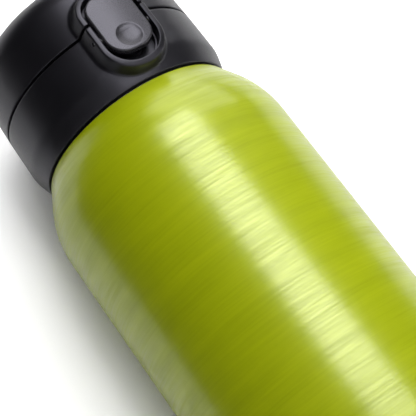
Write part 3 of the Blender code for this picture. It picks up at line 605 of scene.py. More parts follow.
def lime_lacquer():
    """Clear lime lacquer over brushed steel. It ends at the neck, which is bare steel."""
    material, tree, shader, place = start_material("lime_lacquer")
    brushed = use_group(tree, BRUSHING, place, Line_Reach=50.0, Line_Pitch=1700.0)
    lime = blended(tree, weighed(tree, brushed["Lines"], brushed["Streaks"], 0.55), LIME_DEEP, LIME)
    steel = blended(tree, brushed["Lines"], BARE_STEEL_DEEP, BARE_STEEL)
    split = tree.nodes.new("ShaderNodeSeparateXYZ")
    tree.links.new(place, split.inputs["Vector"])
    bare = combine(tree, "GREATER_THAN", split.outputs["Z"], LACQUER_END)
    tree.links.new(blended(tree, bare, lime, steel), shader.inputs["Base Color"])
    tree.links.new(between(tree, brushed["Lines"], 0.62, 0.34), shader.inputs["Roughness"])
    gloss = between(tree, brushed["Lines"], 0.52, 1.0)
    lacquered = between(tree, bare, 1.0, 0.0)
    tree.links.new(combine(tree, "MULTIPLY", gloss, lacquered), shader.inputs["Coat Weight"])
    tree.links.new(between(tree, bare, 0.18, 1.0), shader.inputs["Metallic"])
    shader.inputs["Coat Roughness"].default_value = 0.25
    shader.inputs["Coat IOR"].default_value = 1.72
    shader.inputs["Specular IOR Level"].default_value = 0.05
    brush_round_axis(tree, shader, 0.65)
    raise_by(tree, shader, brushed["Height"], 0.12, 0.03)
    return material


def turned_steel():
    """Bare steel with fine turning lines, on the liner, the base and the small pins."""
    material, tree, shader, place = start_material("turned_steel")
    brushed = use_group(tree, BRUSHING, place, Line_Reach=60.0, Line_Pitch=3000.0)
    steel = blended(tree, brushed["Streaks"], BARE_STEEL_DEEP, BARE_STEEL)
    tree.links.new(steel, shader.inputs["Base Color"])
    tree.links.new(between(tree, brushed["Lines"], 0.38, 0.26), shader.inputs["Roughness"])
    shader.inputs["Metallic"].default_value = 1.0
    raise_by(tree, shader, brushed["Height"], 0.15, 0.03)
    return material


def grained(name, colour, worn, roughness, grain, relief, depth=0.05, spread=0.05):
    """Material of one slightly uneven colour with a moulded grain, and its shader."""
    material, tree, shader, place = start_material(name)
    marks = use_group(tree, MOULDING, place, Grain=grain)
    tree.links.new(blended(tree, marks["Uneven"], colour, worn), shader.inputs["Base Color"])
    rough = between(tree, marks["Grain"], roughness + spread, roughness - spread)
    tree.links.new(rough, shader.inputs["Roughness"])
    raise_by(tree, shader, marks["Height"], relief, depth)
    return material, shader


def moulded(*look):
    """Moulded plastic, by the values of its grained look."""
    material, shader = grained(*look)
    shader.inputs["Specular Tint"].default_value = (0.88, 0.86, 1.0, 1)
    return material


def soft_silicone():
    """Milky grey silicone."""
    material, shader = grained("silicone", (0.52, 0.52, 0.50), (0.60, 0.60, 0.58), 0.57, 1500.0, 0.1)
    shader.inputs["Subsurface Weight"].default_value = 0.25
    shader.inputs["Subsurface Radius"].default_value = (0.0015, 0.0014, 0.0012)
    shader.inputs["Subsurface Scale"].default_value = 1.0
    return material


def glass_solder():
    """Dark grey glassy bead."""
    material, shader = grained("glass_solder", (0.25, 0.25, 0.26), (0.36, 0.36, 0.37), 0.24, 700.0, 0.2, 0.1,
                               0.06)
    shader.inputs["Metallic"].default_value = 0.3
    return material


LACQUER = lime_lacquer()
STEEL = turned_steel()
CAP_BLACK = moulded("cap_black", (0.0044, 0.0042, 0.0054), (0.0060, 0.0057, 0.0072), 0.36, 3200.0, 0.2)
BUTTON_GREY = moulded("button_grey", (0.0215, 0.0207, 0.0232), (0.028, 0.0272, 0.0297), 0.28, 3600.0, 0.15)
CORE_BLACK = moulded("core_black", (0.027, 0.027, 0.029), (0.034, 0.034, 0.036), 0.44, 2600.0, 0.12)
SILICONE = soft_silicone()
SOLDER = glass_solder()


# Flask


def thread_ridge(start_angle, level, root, crest):
    """One helical thread ridge whose ends run out into its wall."""
    sunk = root - math.copysign(THREAD_SUNK, crest - root)
    rings = []
    for step in range(THREAD_STEPS + 1):
        angle = THREAD_TURN * step / THREAD_STEPS
        ease = min(1.0, angle / THREAD_RUNOUT, (THREAD_TURN - angle) / THREAD_RUNOUT)
        ease = ease * ease * (3 - 2 * ease)
        top = root + (crest - root) * (1.25 * ease - 0.25)
        z = level + THREAD_LEAD * angle / math.tau
        land = 0.35 + 0.25 * ease
        edge = (top - root) * 0.72 + root
        outline = [(sunk, 1.25), (root, 1.06), (edge, land + 0.14), (top, land - 0.12),
                   (top, 0.12 - land), (edge, -land - 0.14), (root, -1.06), (sunk, -1.25)]
        turn = start_angle + angle
        rings.append([(r * math.cos(turn), r * math.sin(turn), z + rise) for r, rise in outline])
    return closed_loft(rings)


def thread_ridges(first_angle, level, root, crest):
    """Union steps for the two starts of a thread."""
    return [("UNION", thread_ridge(start * math.pi + first_angle, level, root, crest)) for start in range(2)]


def bottle_body():
    """Lacquered outer wall with its shoulder, standing ring and threaded neck."""
    inner = BODY_RADIUS - SHEET
    outline = [(NECK_RADIUS - SHEET, NECK_END, 0), (NECK_RADIUS, NECK_END, 0.2), (NECK_RADIUS, LEDGE, 0.6),
               (SHOULDER_TOP, LEDGE, 0.6), (BODY_RADIUS, SHOULDER_CORNER, SHOULDER_ROUND),
               (BODY_RADIUS, 0, 4.0), (FOOT_INNER, 0, 0.35), (FOOT_INNER, FOOT_HEIGHT, 0.2),
               (FOOT_INNER + SHEET, FOOT_HEIGHT, 0.2), (FOOT_INNER + SHEET, SHEET, 0.35), (inner, SHEET, 3.2),
               (inner, SHOULDER_CORNER - 0.2, SHOULDER_ROUND), (SHOULDER_TOP - SHEET, LEDGE - SHEET, 0),
               (NECK_RADIUS - SHEET, LEDGE - SHEET, 0)]
    shape = Shape().turned(filleted(outline), BODY_STEPS, closed=True)
    ridges = thread_ridges(THREAD_ANGLE, THREAD_LEVEL, NECK_RADIUS, NECK_RADIUS + THREAD_DEPTH)
    mesh = carved("body_wall", shape.mesh("body_wall"), ridges)
    piece("bottle_body", mesh, "flask", "lacquer", LACQUER, "outer_shell")


def flask_liner():
    """Inner steel flask with its rolled lip over the neck."""
    inner = LINER_RADIUS - SHEET
    corner = SHOULDER_CORNER - 0.9
    outline = [(0, LINER_FLOOR + SHEET, 0), (inner, LINER_FLOOR + SHEET, 5.2), (inner, corner - 0.2, 26.0),
               (LINER_BORE, LINER_SHOULDER - SHEET, 2.0), (LINER_BORE, LIP_TOP, 0.4),
               (NECK_RADIUS, LIP_TOP, 0.4), (NECK_RADIUS, LIP_TOP - SHEET, 0),
               (LINER_NECK, LIP_TOP - SHEET, 0), (LINER_NECK, LINER_SHOULDER, 2.6),
               (LINER_RADIUS, corner, 26.8), (LINER_RADIUS, LINER_FLOOR, 6.0), (0, LINER_FLOOR, 0)]
    turned_piece("flask_liner", outline, "flask", "steel", STEEL, "inner_liner", BODY_STEPS)


def base_pieces():
    """Spun bottom plate, the bead in its dimple and the getter above it."""
    plate = [(0.8, 4.1, 0), (5.0, 4.1, 0.6), (5.9, 3.2, 0.6), (30.2, 3.2, 0.2), (30.2, 2.4, 0.2),
             (24.0, 2.4, 1.5), (23.4, 2.9, 1.0), (20.6, 2.9, 1.0), (20.0, 2.4, 1.5), (5.5, 2.4, 0.6),
             (4.6, 3.3, 0.6), (0.8, 3.3, 0)]
    turned_piece("base_disc", plate, "flask", "steel", STEEL, "base_plate", SMALL_STEPS * 2)
    bead = [(0, 3.0, 0), (3.2, 3.0, 0.12), (2.7, 2.15, 0.9), (1.3, 1.9, 3.0), (0, 1.9, 0)]
    turned_piece("seal_bead", bead, "flask", "solder", SOLDER, "vacuum_seal")
    pill = [(0, 5.9, 0), (5.5, 5.9, 0.3), (5.5, 4.4, 0.3), (0, 4.4, 0)]
    turned_piece("getter_pill", pill, "flask", "steel", STEEL, "getter")


bottle_body()
flask_liner()
base_pieces()


# Cap wall and latch frame

CAP_OUTSIDE = refined(filleted([
    (COLLAR_FOOT_RADIUS - 0.9, COLLAR_FOOT, 0), (COLLAR_FOOT_RADIUS, COLLAR_FOOT, 0.35),
    (CAP_RADIUS, COLLAR_WIDE, 9.0), (SEAM_RADIUS, SEAM, 0), (LID_TOP_RADIUS, LID_TOP, LID_ROUND),
    (0, LID_TOP, 0)]), WALL_STEP)


def wall_radius(z):
    """Outer radius of the cap at a height."""
    for first, second in zip(CAP_OUTSIDE, CAP_OUTSIDE[1:]):
        if first.y <= z <= second.y and second.y > first.y:
            return first.lerp(second, (z - first.y) / (second.y - first.y)).x
    return CAP_OUTSIDE[0].x


def rounded_outline(half, low, high, low_corner, top_corner):
    """Points round an upright outline with rounded corners, each with the way out of it."""
    corners = [(half - low_corner, low + low_corner, low_corner),
               (half - top_corner, high - top_corner, top_corner),
               (top_corner - half, high - top_corner, top_corner),
               (low_corner - half, low + low_corner, low_corner)]
    points = []
    for index, (x, z, radius) in enumerate(corners):
        for step in range(CORNER_STEPS + 1):
            angle = math.radians(90 * (index - 1) + 90 * step / CORNER_STEPS)
            way = Vector((math.cos(angle), math.sin(angle)))
            points.append((Vector((x, z)) + way * radius, way))
        here, way = points[-1]
        next_x, next_z, next_radius = corners[(index + 1) % 4]
        there = Vector((next_x, next_z)) + way * next_radius
        steps = max(2, round((there - here).length / OUTLINE_STEP))
        points += [(here.lerp(there, step / steps), way) for step in range(1, steps)]
    return points


def foot_fillet(point, way):
    """Fillet from the frame's flank to the cap wall, as (out, depth) points along one way out."""
    share = min(1.0, max(0.0, (point.y - FRAME_FOOT) / FOOT_FILLET_RISE))
    radius = FOOT_FILLET_LOW + (FOOT_FILLET - FOOT_FILLET_LOW) * share
    draft = FRAME_DRAFT + (FRAME_DRAFT_LOW - FRAME_DRAFT) * max(0.0, -way.y)
    length = math.hypot(1, draft)

    def wall_depth(out):
        spot = point + way * out
        return FRAME_FACE - math.sqrt(wall_radius(spot.y) ** 2 - spot.x ** 2)

    def wall_normal(out):
        slope = (wall_depth(out + SLOPE_STEP) - wall_depth(out - SLOPE_STEP)) / (2 * SLOPE_STEP)
        return Vector((slope, -1)).normalized()

    low, high = 0.0, FILLET_REACH
    for _ in range(FILLET_TRIES):
        out = (low + high) / 2
        centre = Vector((out, wall_depth(out))) + wall_normal(out) * radius
        if (centre.x - draft * centre.y) / length < radius:
            low = out
        else:
            high = out
    flank_normal = Vector((1, -draft)) / length
    points = []
    for step in range(FILLET_STEPS + 1):
        normal = flank_normal.lerp(wall_normal(out), step / FILLET_STEPS).normalized()
        points.append(centre - normal * radius)
    points[-1] = Vector((out, wall_depth(out)))
    return points


def frame_rings():
    """Rings of the latch frame from its pocket floor, over the rim and down the flank to the cap wall."""
    rim = filleted([(-FRAME_RIM - 1.5, POCKET_DEPTH, 0), (-FRAME_RIM, POCKET_DEPTH, 0.3),
                    (-FRAME_RIM, 0, RIM_INNER_EDGE), (FRAME_DRAFT * RIM_SLOPE, RIM_SLOPE, RIM_OUTER_EDGE),
                    (FRAME_DRAFT * 1.5, 1.5, 0)])[:-1]
    rim = refined(rim, 0.8)
    columns = []
    outline = rounded_outline(FRAME_HALF, FRAME_FOOT, FRAME_TOP, FRAME_CORNER_LOW, FRAME_CORNER_TOP)
    for point, way in outline:
        foot = foot_fillet(point, way)
        fall = RIM_SLOPE_LOW * max(0.0, -way.y)
        edge = [Vector((out, depth + fall * min(1.0, max(0.0, 1 + out / FRAME_RIM)))) for out, depth in rim]
        flank = [edge[-1].lerp(foot[0], share) for share in (0.33, 0.66)]
        column = []
        for out, depth in edge + flank + foot:
            spot = point + way * out
            column.append((spot.x, depth - FRAME_FACE, spot.y))
        columns.append(column)
    return [list(ring) for ring in zip(*columns)]


def inside(spot, polygon):
    """Whether a point is inside a polygon."""
    found = False
    for first, second in zip(polygon, polygon[1:] + polygon[:1]):
        if (first.y > spot.y) != (second.y > spot.y):
            if spot.x < first.x + (spot.y - first.y) * (second.x - first.x) / (second.y - first.y):
                found = not found
    return found


def edge_distance(spot, polygon):
    """Distance from a point to a polygon's nearest edge."""
    least = math.inf
    for first, second in zip(polygon, polygon[1:] + polygon[:1]):
        along = second - first
        share = min(1.0, max(0.0, (spot - first).dot(along) / along.length_squared))
        least = min(least, (first + along * share - spot).length)
    return least


def triangles(points, loops, keep):
    """Triangles over flat points that keep to loops of point indices. keep tests a triangle's middle."""
    edges = [(first, second) for loop in loops for first, second in zip(loop, loop[1:] + loop[:1])]
    made, _, faces, _, _, _ = delaunay_2d_cdt(points, edges, [], 0, 1e-5)
    kept = []
    for face in faces:
        middle = sum((made[index] for index in face), Vector((0, 0))) / len(face)
        if keep(middle):
            kept.append(face)
    return made, kept


FRAME_RINGS = frame_rings()
PATCH_HALF = 16  # columns of the cap wall on each side of the front that are drawn round the frame
PATCH_LOW = COLLAR_FOOT + 0.2
PATCH_HIGH = 201.0
PATCH_CLEAR = 0.4  # least distance of a patch point from the frame's foot


def framed_wall(profile, first_row):
    """Cap wall about Z whose front carries the latch frame. Rows before first_row are inside the cap."""
    shape = Shape()
    rows = [shape.ring(around(radius, height, CAP_STEPS)) for radius, height in profile]
    patch_rows = [index for index in range(first_row, len(profile))
                  if PATCH_LOW <= profile[index].y <= PATCH_HIGH]
    low_row, high_row = patch_rows[0], patch_rows[-1]
    for index in range(len(rows) - 1):
        lower, upper = rows[index], rows[index + 1]
        for column in range(CAP_STEPS):
            after = (column + 1) % CAP_STEPS
            turn = (column + CAP_STEPS // 2) % CAP_STEPS - CAP_STEPS // 2
            if low_row <= index < high_row and -PATCH_HALF <= turn < PATCH_HALF:
                continue
            corners = [lower[column % len(lower)], lower[after % len(lower)],
                       upper[after % len(upper)], upper[column % len(upper)]]
            shape.faces.append(list(dict.fromkeys(corners)))
    outer = FRAME_RINGS[-1]
    loop = [Vector((CAP_RADIUS * math.atan2(x, -y), z)) for x, y, z in outer]
    flat = list(loop)
    step = math.tau / CAP_STEPS
    for index in range(low_row, high_row + 1):
        for turn in range(-PATCH_HALF, PATCH_HALF + 1):
            spot = Vector((CAP_RADIUS * step * turn, profile[index].y))
            rim = index in (low_row, high_row) or abs(turn) == PATCH_HALF
            if rim or (not inside(spot, loop) and edge_distance(spot, loop) > PATCH_CLEAR):
                flat.append(spot)
    made, kept = triangles(flat, [list(range(len(loop)))], lambda spot: not inside(spot, loop))
    start = len(shape.points)
    for spot in made:
        angle = spot.x / CAP_RADIUS
        radius = wall_radius(spot.y)
        shape.add((radius * math.sin(angle), -radius * math.cos(angle), spot.y))
    shape.faces += [[start + index for index in face] for face in kept]
    floor = [(0, POCKET_DEPTH - FRAME_FACE, (FRAME_FOOT + FRAME_TOP) / 2)]
    shape.loft([floor] + FRAME_RINGS)
    return shape


def cut_at(shape, level, keep_above):
    """Part of a shape on one side of a level, as vertices, faces and the open loop round its outside."""
    work = shape.drawn()
    bmesh.ops.bisect_plane(work, geom=work.verts[:] + work.edges[:] + work.faces[:], dist=1e-4,
                           plane_co=(0, 0, level), plane_no=(0, 0, 1), clear_inner=keep_above,
                           clear_outer=not keep_above)
    bmesh.ops.remove_doubles(work, verts=work.verts, dist=WELD)
    work.verts.index_update()
    result = Shape()
    result.points = [vert.co.copy() for vert in work.verts]
    result.faces = [[vert.index for vert in face.verts] for face in work.faces]
    ahead = {}
    for edge in work.edges:
        if edge.is_boundary:
            first, second = (vert.index for vert in edge.verts)
            ahead.setdefault(first, []).append(second)
            ahead.setdefault(second, []).append(first)
    work.free()
    loops = []
    left = set(ahead)
    while left:
        here = min(left)
        loop = [here]
        left.discard(here)
        while True:
            nexts = [index for index in ahead[loop[-1]] if index in left]
            if not nexts:
                break
            loop.append(nexts[0])
            left.discard(nexts[0])
        loops.append(loop)
    return result, loops


def signed_area(points):
    return sum(a.x * b.y - b.x * a.y for a, b in zip(points, points[1:] + points[:1])) / 2


def close_seam(shape, outer, inner, level, up):
    """Rounded edge on the outer loop at a seam, then the flat seam face to the inner loop."""
    flat = [shape.points[index].to_2d() for index in outer]
    if signed_area(flat) < 0:
        outer = outer[::-1]
        flat = flat[::-1]
    ways = []
    for index, spot in enumerate(flat):
        before = (spot - flat[index - 1]).normalized()
        after = (flat[(index + 1) % len(flat)] - spot).normalized()
        along = before + after
        if along.length < 1e-6:
            along = after
        along.normalize()
        ways.append(Vector((-along.y, along.x)))
    ring = outer
    for step in range(1, SEAM_STEPS + 1):
        angle = math.pi / 2 * step / SEAM_STEPS
        inset = SEAM_EDGE * (1 - math.cos(angle))
        rise = up * SEAM_EDGE * math.sin(angle)
        following = shape.ring([(*(spot + way * inset), level - up * SEAM_EDGE + rise)
                                for spot, way in zip(flat, ways)])
        shape.span(ring, following)
        ring = following
    outside = [shape.points[index].to_2d() for index in ring]
    within = [shape.points[index].to_2d() for index in inner]
    points = outside + within
    loops = [list(range(len(outside))), list(range(len(outside), len(points)))]
    made, kept = triangles(points, loops, lambda spot: inside(spot, outside) and not inside(spot, within))
    start = len(shape.points)
    for spot in made:
        shape.add((spot.x, spot.y, level))
    shape.faces += [[start + index for index in face] for face in kept]


def rod_x(reach, radius, y, z):
    return bar_along_x(-reach, reach, radius, y, z, CUTTER_EDGE)


def block(low, high):
    """Plain cutter between two corners."""
    (x0, y0, z0), (x1, y1, z1) = low, high
    return closed_loft([[(x0, y0, z), (x1, y0, z), (x1, y1, z), (x0, y1, z)] for z in (z0, z1)])


def hinge_ears(inner, outer, low, high):
    """Barrels and arms of one half of the hinge, left and right."""
    made = []
    for side in (-1, 1):
        left, right = sorted((side * inner, side * outer))
        front = math.sqrt((SEAM_RADIUS - CAP_WALL / 2) ** 2 - ((inner + outer) / 2) ** 2)
        outline = [(front, low), (HINGE_Y, low), (HINGE_Y, high), (front, high)]
        made += [("UNION", bar_along_x(left, right, BARREL, HINGE_Y, SEAM, BARREL_EDGE)),
                 ("UNION", slab_along_x(left + ARM_INSET, right - ARM_INSET, outline, ARM_EDGE))]
    return made


def relief(spans):
    return [("DIFFERENCE", bar_along_x(left, right, RELIEF, HINGE_Y, SEAM, CUTTER_EDGE))
            for left, right in spans]


def bar(start, end, radius):
    """Round cutter between two points."""
    return tube([Vector(start), Vector(end)], radius, BAR_STEPS)


def pocket_well(inset, top, back, front):
    """Lower end of the pocket's outline, drawn in by an inset and carried from front to back."""
    inset += FRAME_RIM
    outline = rounded_outline(FRAME_HALF - inset, FRAME_FOOT + inset, FRAME_TOP - inset,
                              FRAME_CORNER_LOW - inset, FRAME_CORNER_TOP - inset)
    low = [spot for spot, _ in outline if spot.y < top]
    right = [spot for spot in low if spot.x > 0]
    left = [spot for spot in low if spot.x <= 0]
    spots = [Vector((left[0].x, top))] + left + right + [Vector((right[-1].x, top))]
    return closed_loft([[(spot.x, -depth, spot.y) for spot in spots] for depth in (back, front)])


def cap_collar():
    """Outer ring of the cap with the lower half of the latch frame and the hinge lugs."""
    low_inner = COLLAR_FOOT_RADIUS - CAP_WALL
    inner = filleted([(SEAM_RADIUS - CAP_WALL, COLLAR_TOP, 0), (29.67, 182.7, 0.2), (28.27, 182.7, 0.2),
                      (28.27, 181.5, 0.2), (29.7, 180.1, 0.5), (CAP_RADIUS - CAP_WALL, COLLAR_WIDE, 5.0),
                      (low_inner, COLLAR_FOOT, 0.35), (COLLAR_FOOT_RADIUS - 0.9, COLLAR_FOOT, 0)])
    outside = [point for point in CAP_OUTSIDE[1:] if point.y < PATCH_HIGH + 2]
    shape = framed_wall(inner + outside, len(inner))
    cut = COLLAR_TOP - SEAM_EDGE
    shape, loops = cut_at(shape, cut, False)
    loops.sort(key=len)
    outer = loops[-1]
    ring = shape.ring(around(SEAM_RADIUS - CAP_WALL, COLLAR_TOP, CAP_STEPS))
    lower = [index for loop in loops[:-1] for index in loop]
    points = shape.points
    order = sorted(lower, key=lambda index: math.atan2(points[index].x, -points[index].y) % math.tau)
    first = min(range(len(order)), key=lambda index: (points[order[index]] - points[ring[0]]).length)
    order = order[first:] + order[:first]
    shape.span(order, ring)
    close_seam(shape, outer, ring, COLLAR_TOP, 1)
    floor = FRAME_FACE - POCKET_DEPTH
    seat = bar((0, LATCH_SEAT_FLOOR, LATCH_SPRING_Z), (0, -FRAME_FACE, LATCH_SPRING_Z), LATCH_SPRING_SEAT)
    post = bar((0, WELL_LAP - WELL_FLOOR, LATCH_SPRING_Z), (0, -floor - POST_PROUD, LATCH_SPRING_Z),
               LATCH_SPRING_POST)
    steps = [("UNION", pocket_well(-WELL_WALL, WELL_TOP + WELL_PAD, WELL_BACK, floor - WELL_LAP)),
             ("DIFFERENCE", pocket_well(WELL_LEDGE, WELL_TOP, WELL_FLOOR, floor + WELL_LAP)), ("UNION", post)]
    for side in (-1, 1):
        left, right = sorted((side * LATCH_BOSS_IN, side * LATCH_BOSS_OUT))
        boss = bar_along_x(left, right, LATCH_BOSS, LATCH_Y, LATCH_Z, LATCH_BOSS_EDGE, LATCH_BOSS_STEPS)
        steps.append(("UNION", boss))
    steps += relief([(LUG_GAP - LUG_IN, LUG_IN - LUG_GAP)])
    steps += hinge_ears(LUG_IN, LUG_OUT, SEAM + BARREL_EDGE - BARREL, COLLAR_TOP - BARREL_EDGE)
    steps += [("DIFFERENCE", rod_x(LUG_OUT + PIN_INSET, HINGE_BORE, HINGE_Y, SEAM)),
              ("DIFFERENCE", rod_x(LATCH_DRILL, LATCH_BORE, LATCH_Y, LATCH_Z)), ("DIFFERENCE", seat)]
    mesh = carved("collar_wall", shape.mesh("collar_wall"), steps)
    piece("cap_collar", mesh, "cap", "black_plastic", CAP_BLACK, "collar_shell")


def flip_lid():
    """Lid with the upper half of the latch frame and the hinge knuckles."""
    outside = [point for point in CAP_OUTSIDE if point.y > PATCH_LOW - 0.01]
    shape = framed_wall(outside, 0)
    shape, loops = cut_at(shape, LID_FOOT + SEAM_EDGE, True)
    outer = max(loops, key=len)
    ceiling = LID_TOP - LID_WALL
    inner = filleted([(SEAM_RADIUS - LID_WALL, LID_FOOT, 0),
                      (LID_TOP_RADIUS - LID_WALL, ceiling, LID_ROUND - LID_WALL), (0, ceiling, 0)])
    rings = shape.loft([around(radius, height, CAP_STEPS) for radius, height in inner])
    close_seam(shape, outer, rings[0], LID_FOOT, -1)
    steps = relief([(-LUG_OUT - PIN_INSET, LUG_GAP - LUG_IN), (LUG_GAP - KNUCKLE_IN, KNUCKLE_IN - LUG_GAP),
                    (LUG_IN - LUG_GAP, LUG_OUT + PIN_INSET)])
    steps += hinge_ears(KNUCKLE_IN, KNUCKLE_OUT, LID_FOOT + BARREL_EDGE, SEAM + BARREL - BARREL_EDGE)
    steps += [("DIFFERENCE", rod_x(LUG_OUT + PIN_INSET, HINGE_BORE, HINGE_Y, SEAM)),
              ("DIFFERENCE", block(*CATCH_WINDOW))]
    mesh = carved("lid_wall", shape.mesh("lid_wall"), steps)
    piece("flip_lid", mesh, "lid", "black_plastic", CAP_BLACK, "lid_shell")


cap_collar()
flip_lid()


# Inside of the cap


def cap_core():
    """Threaded core with its deck, drip rim and flange."""
    outline = [(14.5, 184.8, 0.15), (26.0, 184.8, 0.5), (26.0, 187.2, 0.5), (27.4, 187.2, 0.5),
               (27.4, 184.8, 0.3), (29.25, 184.8, 0.2), (29.25, 183.0, 0.2), (27.7, 183.0, 0.3),
               (27.7, 166.2, 0.4), (CORE_ROOT, 166.2, 0.4), (CORE_ROOT, 183.0, 0.5), (14.5, 183.0, 0.15)]
    shape = Shape().turned(filleted(outline, closed=True), BODY_STEPS, closed=True)
    ridges = thread_ridges(CORE_THREAD_ANGLE, CORE_THREAD_LEVEL, CORE_ROOT, CORE_ROOT - THREAD_DEPTH)
    mesh = carved("core_wall", shape.mesh("core_wall"), ridges)
    piece("cap_core", mesh, "cap", "core_plastic", CORE_BLACK, "thread_insert")


def cap_inside():
    """Gaskets, mouthpiece, lid plate and stopper."""
    cap_core()
    turned_piece("neck_seal",
                 [(21.6, 182.7, 0.5), (23.5, 182.7, 0.5), (23.5, 181.5, 0.5), (21.6, 181.5, 0.5)],
                 "seal_ring", "silicone", SILICONE, "neck_gasket")
    turned_piece("mouthpiece",
                 [(13.0, 196.8, 0.3), (14.2, 196.8, 0.55), (14.2, 186.9, 0.8), (17.0, 186.9, 0.5),
                  (17.0, 185.4, 0.3), (14.2, 185.4, 0), (14.2, 182.2, 0.3), (10.8, 182.2, 0.5),
                  (10.8, 194.6, 0.6)],
                 "cap", "core_plastic", CORE_BLACK, "spout")
    turned_piece("mouthpiece_seal",
                 [(14.5, 186.1, 0.4), (16.7, 186.1, 0.4), (16.7, 185.1, 0.4), (14.5, 185.1, 0.4)],
                 "cap", "silicone", SILICONE, "spout_gasket")
    turned_piece("lid_plate",
                 [(4.3, 200.6, 0.1), (28.1, 200.6, 0.3), (28.1, 199.1, 0.3), (4.3, 199.1, 0.1)],
                 "lid", "core_plastic", CORE_BLACK, "lid_liner")
    turned_piece("stopper",
                 [(0, 202.3, 0), (4.0, 202.3, 0.4), (5.4, 200.9, 0.3), (4.0, 200.9, 0.1), (4.0, 198.8, 0.2),
                  (14.2, 198.8, 0.5), (14.2, 197.4, 0.4), (13.18, 197.4, 0.1), (10.5, 194.72, 0.6),
                  (7.9, 193.32, 1.5), (0, 193.32, 0)],
                 "lid", "silicone", SILICONE, "lid_stopper")


cap_inside()


# Hinge and latch


def crowned(x, depth):
    """Fall of the button's crowned face at x, which fades out down its sides."""
    return x * x / (2 * BUTTON_CROWN) * max(0.0, 1 - depth / (BUTTON_FACE - BUTTON_BACK))


def thumb_button():
    """Rocking button with its round thumb dish, barrel and hook."""
    outline = rounded_outline(BUTTON_HALF, BUTTON_FOOT, BUTTON_TOP, BUTTON_CORNER_LOW, BUTTON_CORNER_TOP)
    thick = BUTTON_FACE - BUTTON_BACK
    side = filleted([(-BUTTON_EDGE - 0.02, 0, 0), (0, 0, BUTTON_EDGE), (0, thick, 0.3), (-2.0, thick, 0)])
    edge_rings = []
    for out, depth in side:
        ring = []
        for spot, way in outline:
            x, z = spot + way * out
            ring.append((x, depth + crowned(x, depth) - BUTTON_FACE, z))
        edge_rings.append(ring)
    dish = [(DISH_RADIUS + DISH_LIP, 0, 0), (DISH_RADIUS, 0, DISH_EDGE)]
    for step in range(DISH_STEPS + 1):
        share = DISH_BOWL * (1 - step / DISH_STEPS)
        dish.append((DISH_RADIUS * share, DISH_DEPTH * (1 - share ** DISH_CURVE), 0))
    middle = Vector((0, DISH_Z))
    ways = [(spot - middle).normalized() for spot, _ in outline]
    inner_rings = []
    for radius, depth in reversed(filleted(dish)):
        if radius < WELD:
            inner_rings.append([(0, depth - BUTTON_FACE, DISH_Z)])
        else:
            inner_rings.append([(radius * way.x, depth + crowned(radius * way.x, 0) - BUTTON_FACE,
                                 DISH_Z + radius * way.y) for way in ways])
    face_rings = []
    for share in (0.25, 0.5, 0.75):
        ring = []
        for near, far in zip(inner_rings[-1], edge_rings[0]):
            spot = Vector(near).lerp(Vector(far), share)
            ring.append((spot.x, crowned(spot.x, 0) - BUTTON_FACE, spot.z))
        face_rings.append(ring)
    shape = Shape()
    shape.loft(inner_rings + face_rings + edge_rings, cap_last=True)
    barrel = bar_along_x(-LATCH_BARREL_HALF, LATCH_BARREL_HALF, LATCH_BARREL, LATCH_Y, LATCH_Z,
                         LATCH_PIN_EDGE)
    seat = bar((0, BUTTON_SEAT_FLOOR, LATCH_SPRING_Z), (0, BUTTON_SEAT_END, LATCH_SPRING_Z),
               LATCH_SPRING_SEAT)
    bore = rod_x(BUTTON_DRILL, LATCH_BORE, LATCH_Y, LATCH_Z)
    mesh = carved("button_wall", shape.mesh("button_wall"),
                  [("UNION", barrel), ("UNION", block(*HOOK)), ("DIFFERENCE", bore), ("DIFFERENCE", seat)])
    piece("thumb_button", mesh, "latch", "button_plastic", BUTTON_GREY, "latch_button")


def steel_piece(name, shape, node):
    piece(name, shape.mesh(name), "cap", "steel", STEEL, node)


def hinge_and_latch_metal():
    """Pins and the two wound springs."""
    pin_end = LUG_OUT - PIN_INSET
    rod = bar_along_x(-pin_end, pin_end, HINGE_PIN, HINGE_Y, SEAM, HINGE_PIN_EDGE)
    steel_piece("hinge_rod", rod, "hinge_pin")
    rod = bar_along_x(-LATCH_PIN_END, LATCH_PIN_END, LATCH_PIN, LATCH_Y, LATCH_Z, LATCH_PIN_EDGE)
    steel_piece("latch_rod", rod, "latch_pin")
    half = LID_COIL_TURNS * LID_COIL_PITCH / 2
    coil = [Vector((-half, HINGE_Y - LID_COIL, SEAM - LID_COIL_LEG))]
    for step in range(LID_COIL_TURNS * COIL_STEPS + 1):
        angle = math.tau * step / COIL_STEPS
        coil.append(Vector((-half + LID_COIL_PITCH * step / COIL_STEPS, HINGE_Y - LID_COIL * math.cos(angle),
                            SEAM + LID_COIL * math.sin(angle))))
    coil.append(Vector((half, HINGE_Y - LID_COIL, SEAM + LID_COIL_LEG)))
    steel_piece("lid_spring", tube(coil, LID_WIRE / 2, WIRE_STEPS), "hinge_spring")
    count = round(BUTTON_COIL_TURNS * COIL_STEPS)
    length = BUTTON_COIL_BACK - BUTTON_COIL_FRONT
    coil = []
    for step in range(count + 1):
        angle = math.tau * step / COIL_STEPS
        coil.append(Vector((BUTTON_COIL * math.cos(angle), BUTTON_COIL_FRONT + length * step / count,
                            LATCH_SPRING_Z + BUTTON_COIL * math.sin(angle))))
    steel_piece("button_spring", tube(coil, BUTTON_WIRE / 2, WIRE_STEPS), "latch_spring")


thumb_button()
hinge_and_latch_metal()


# Surroundings

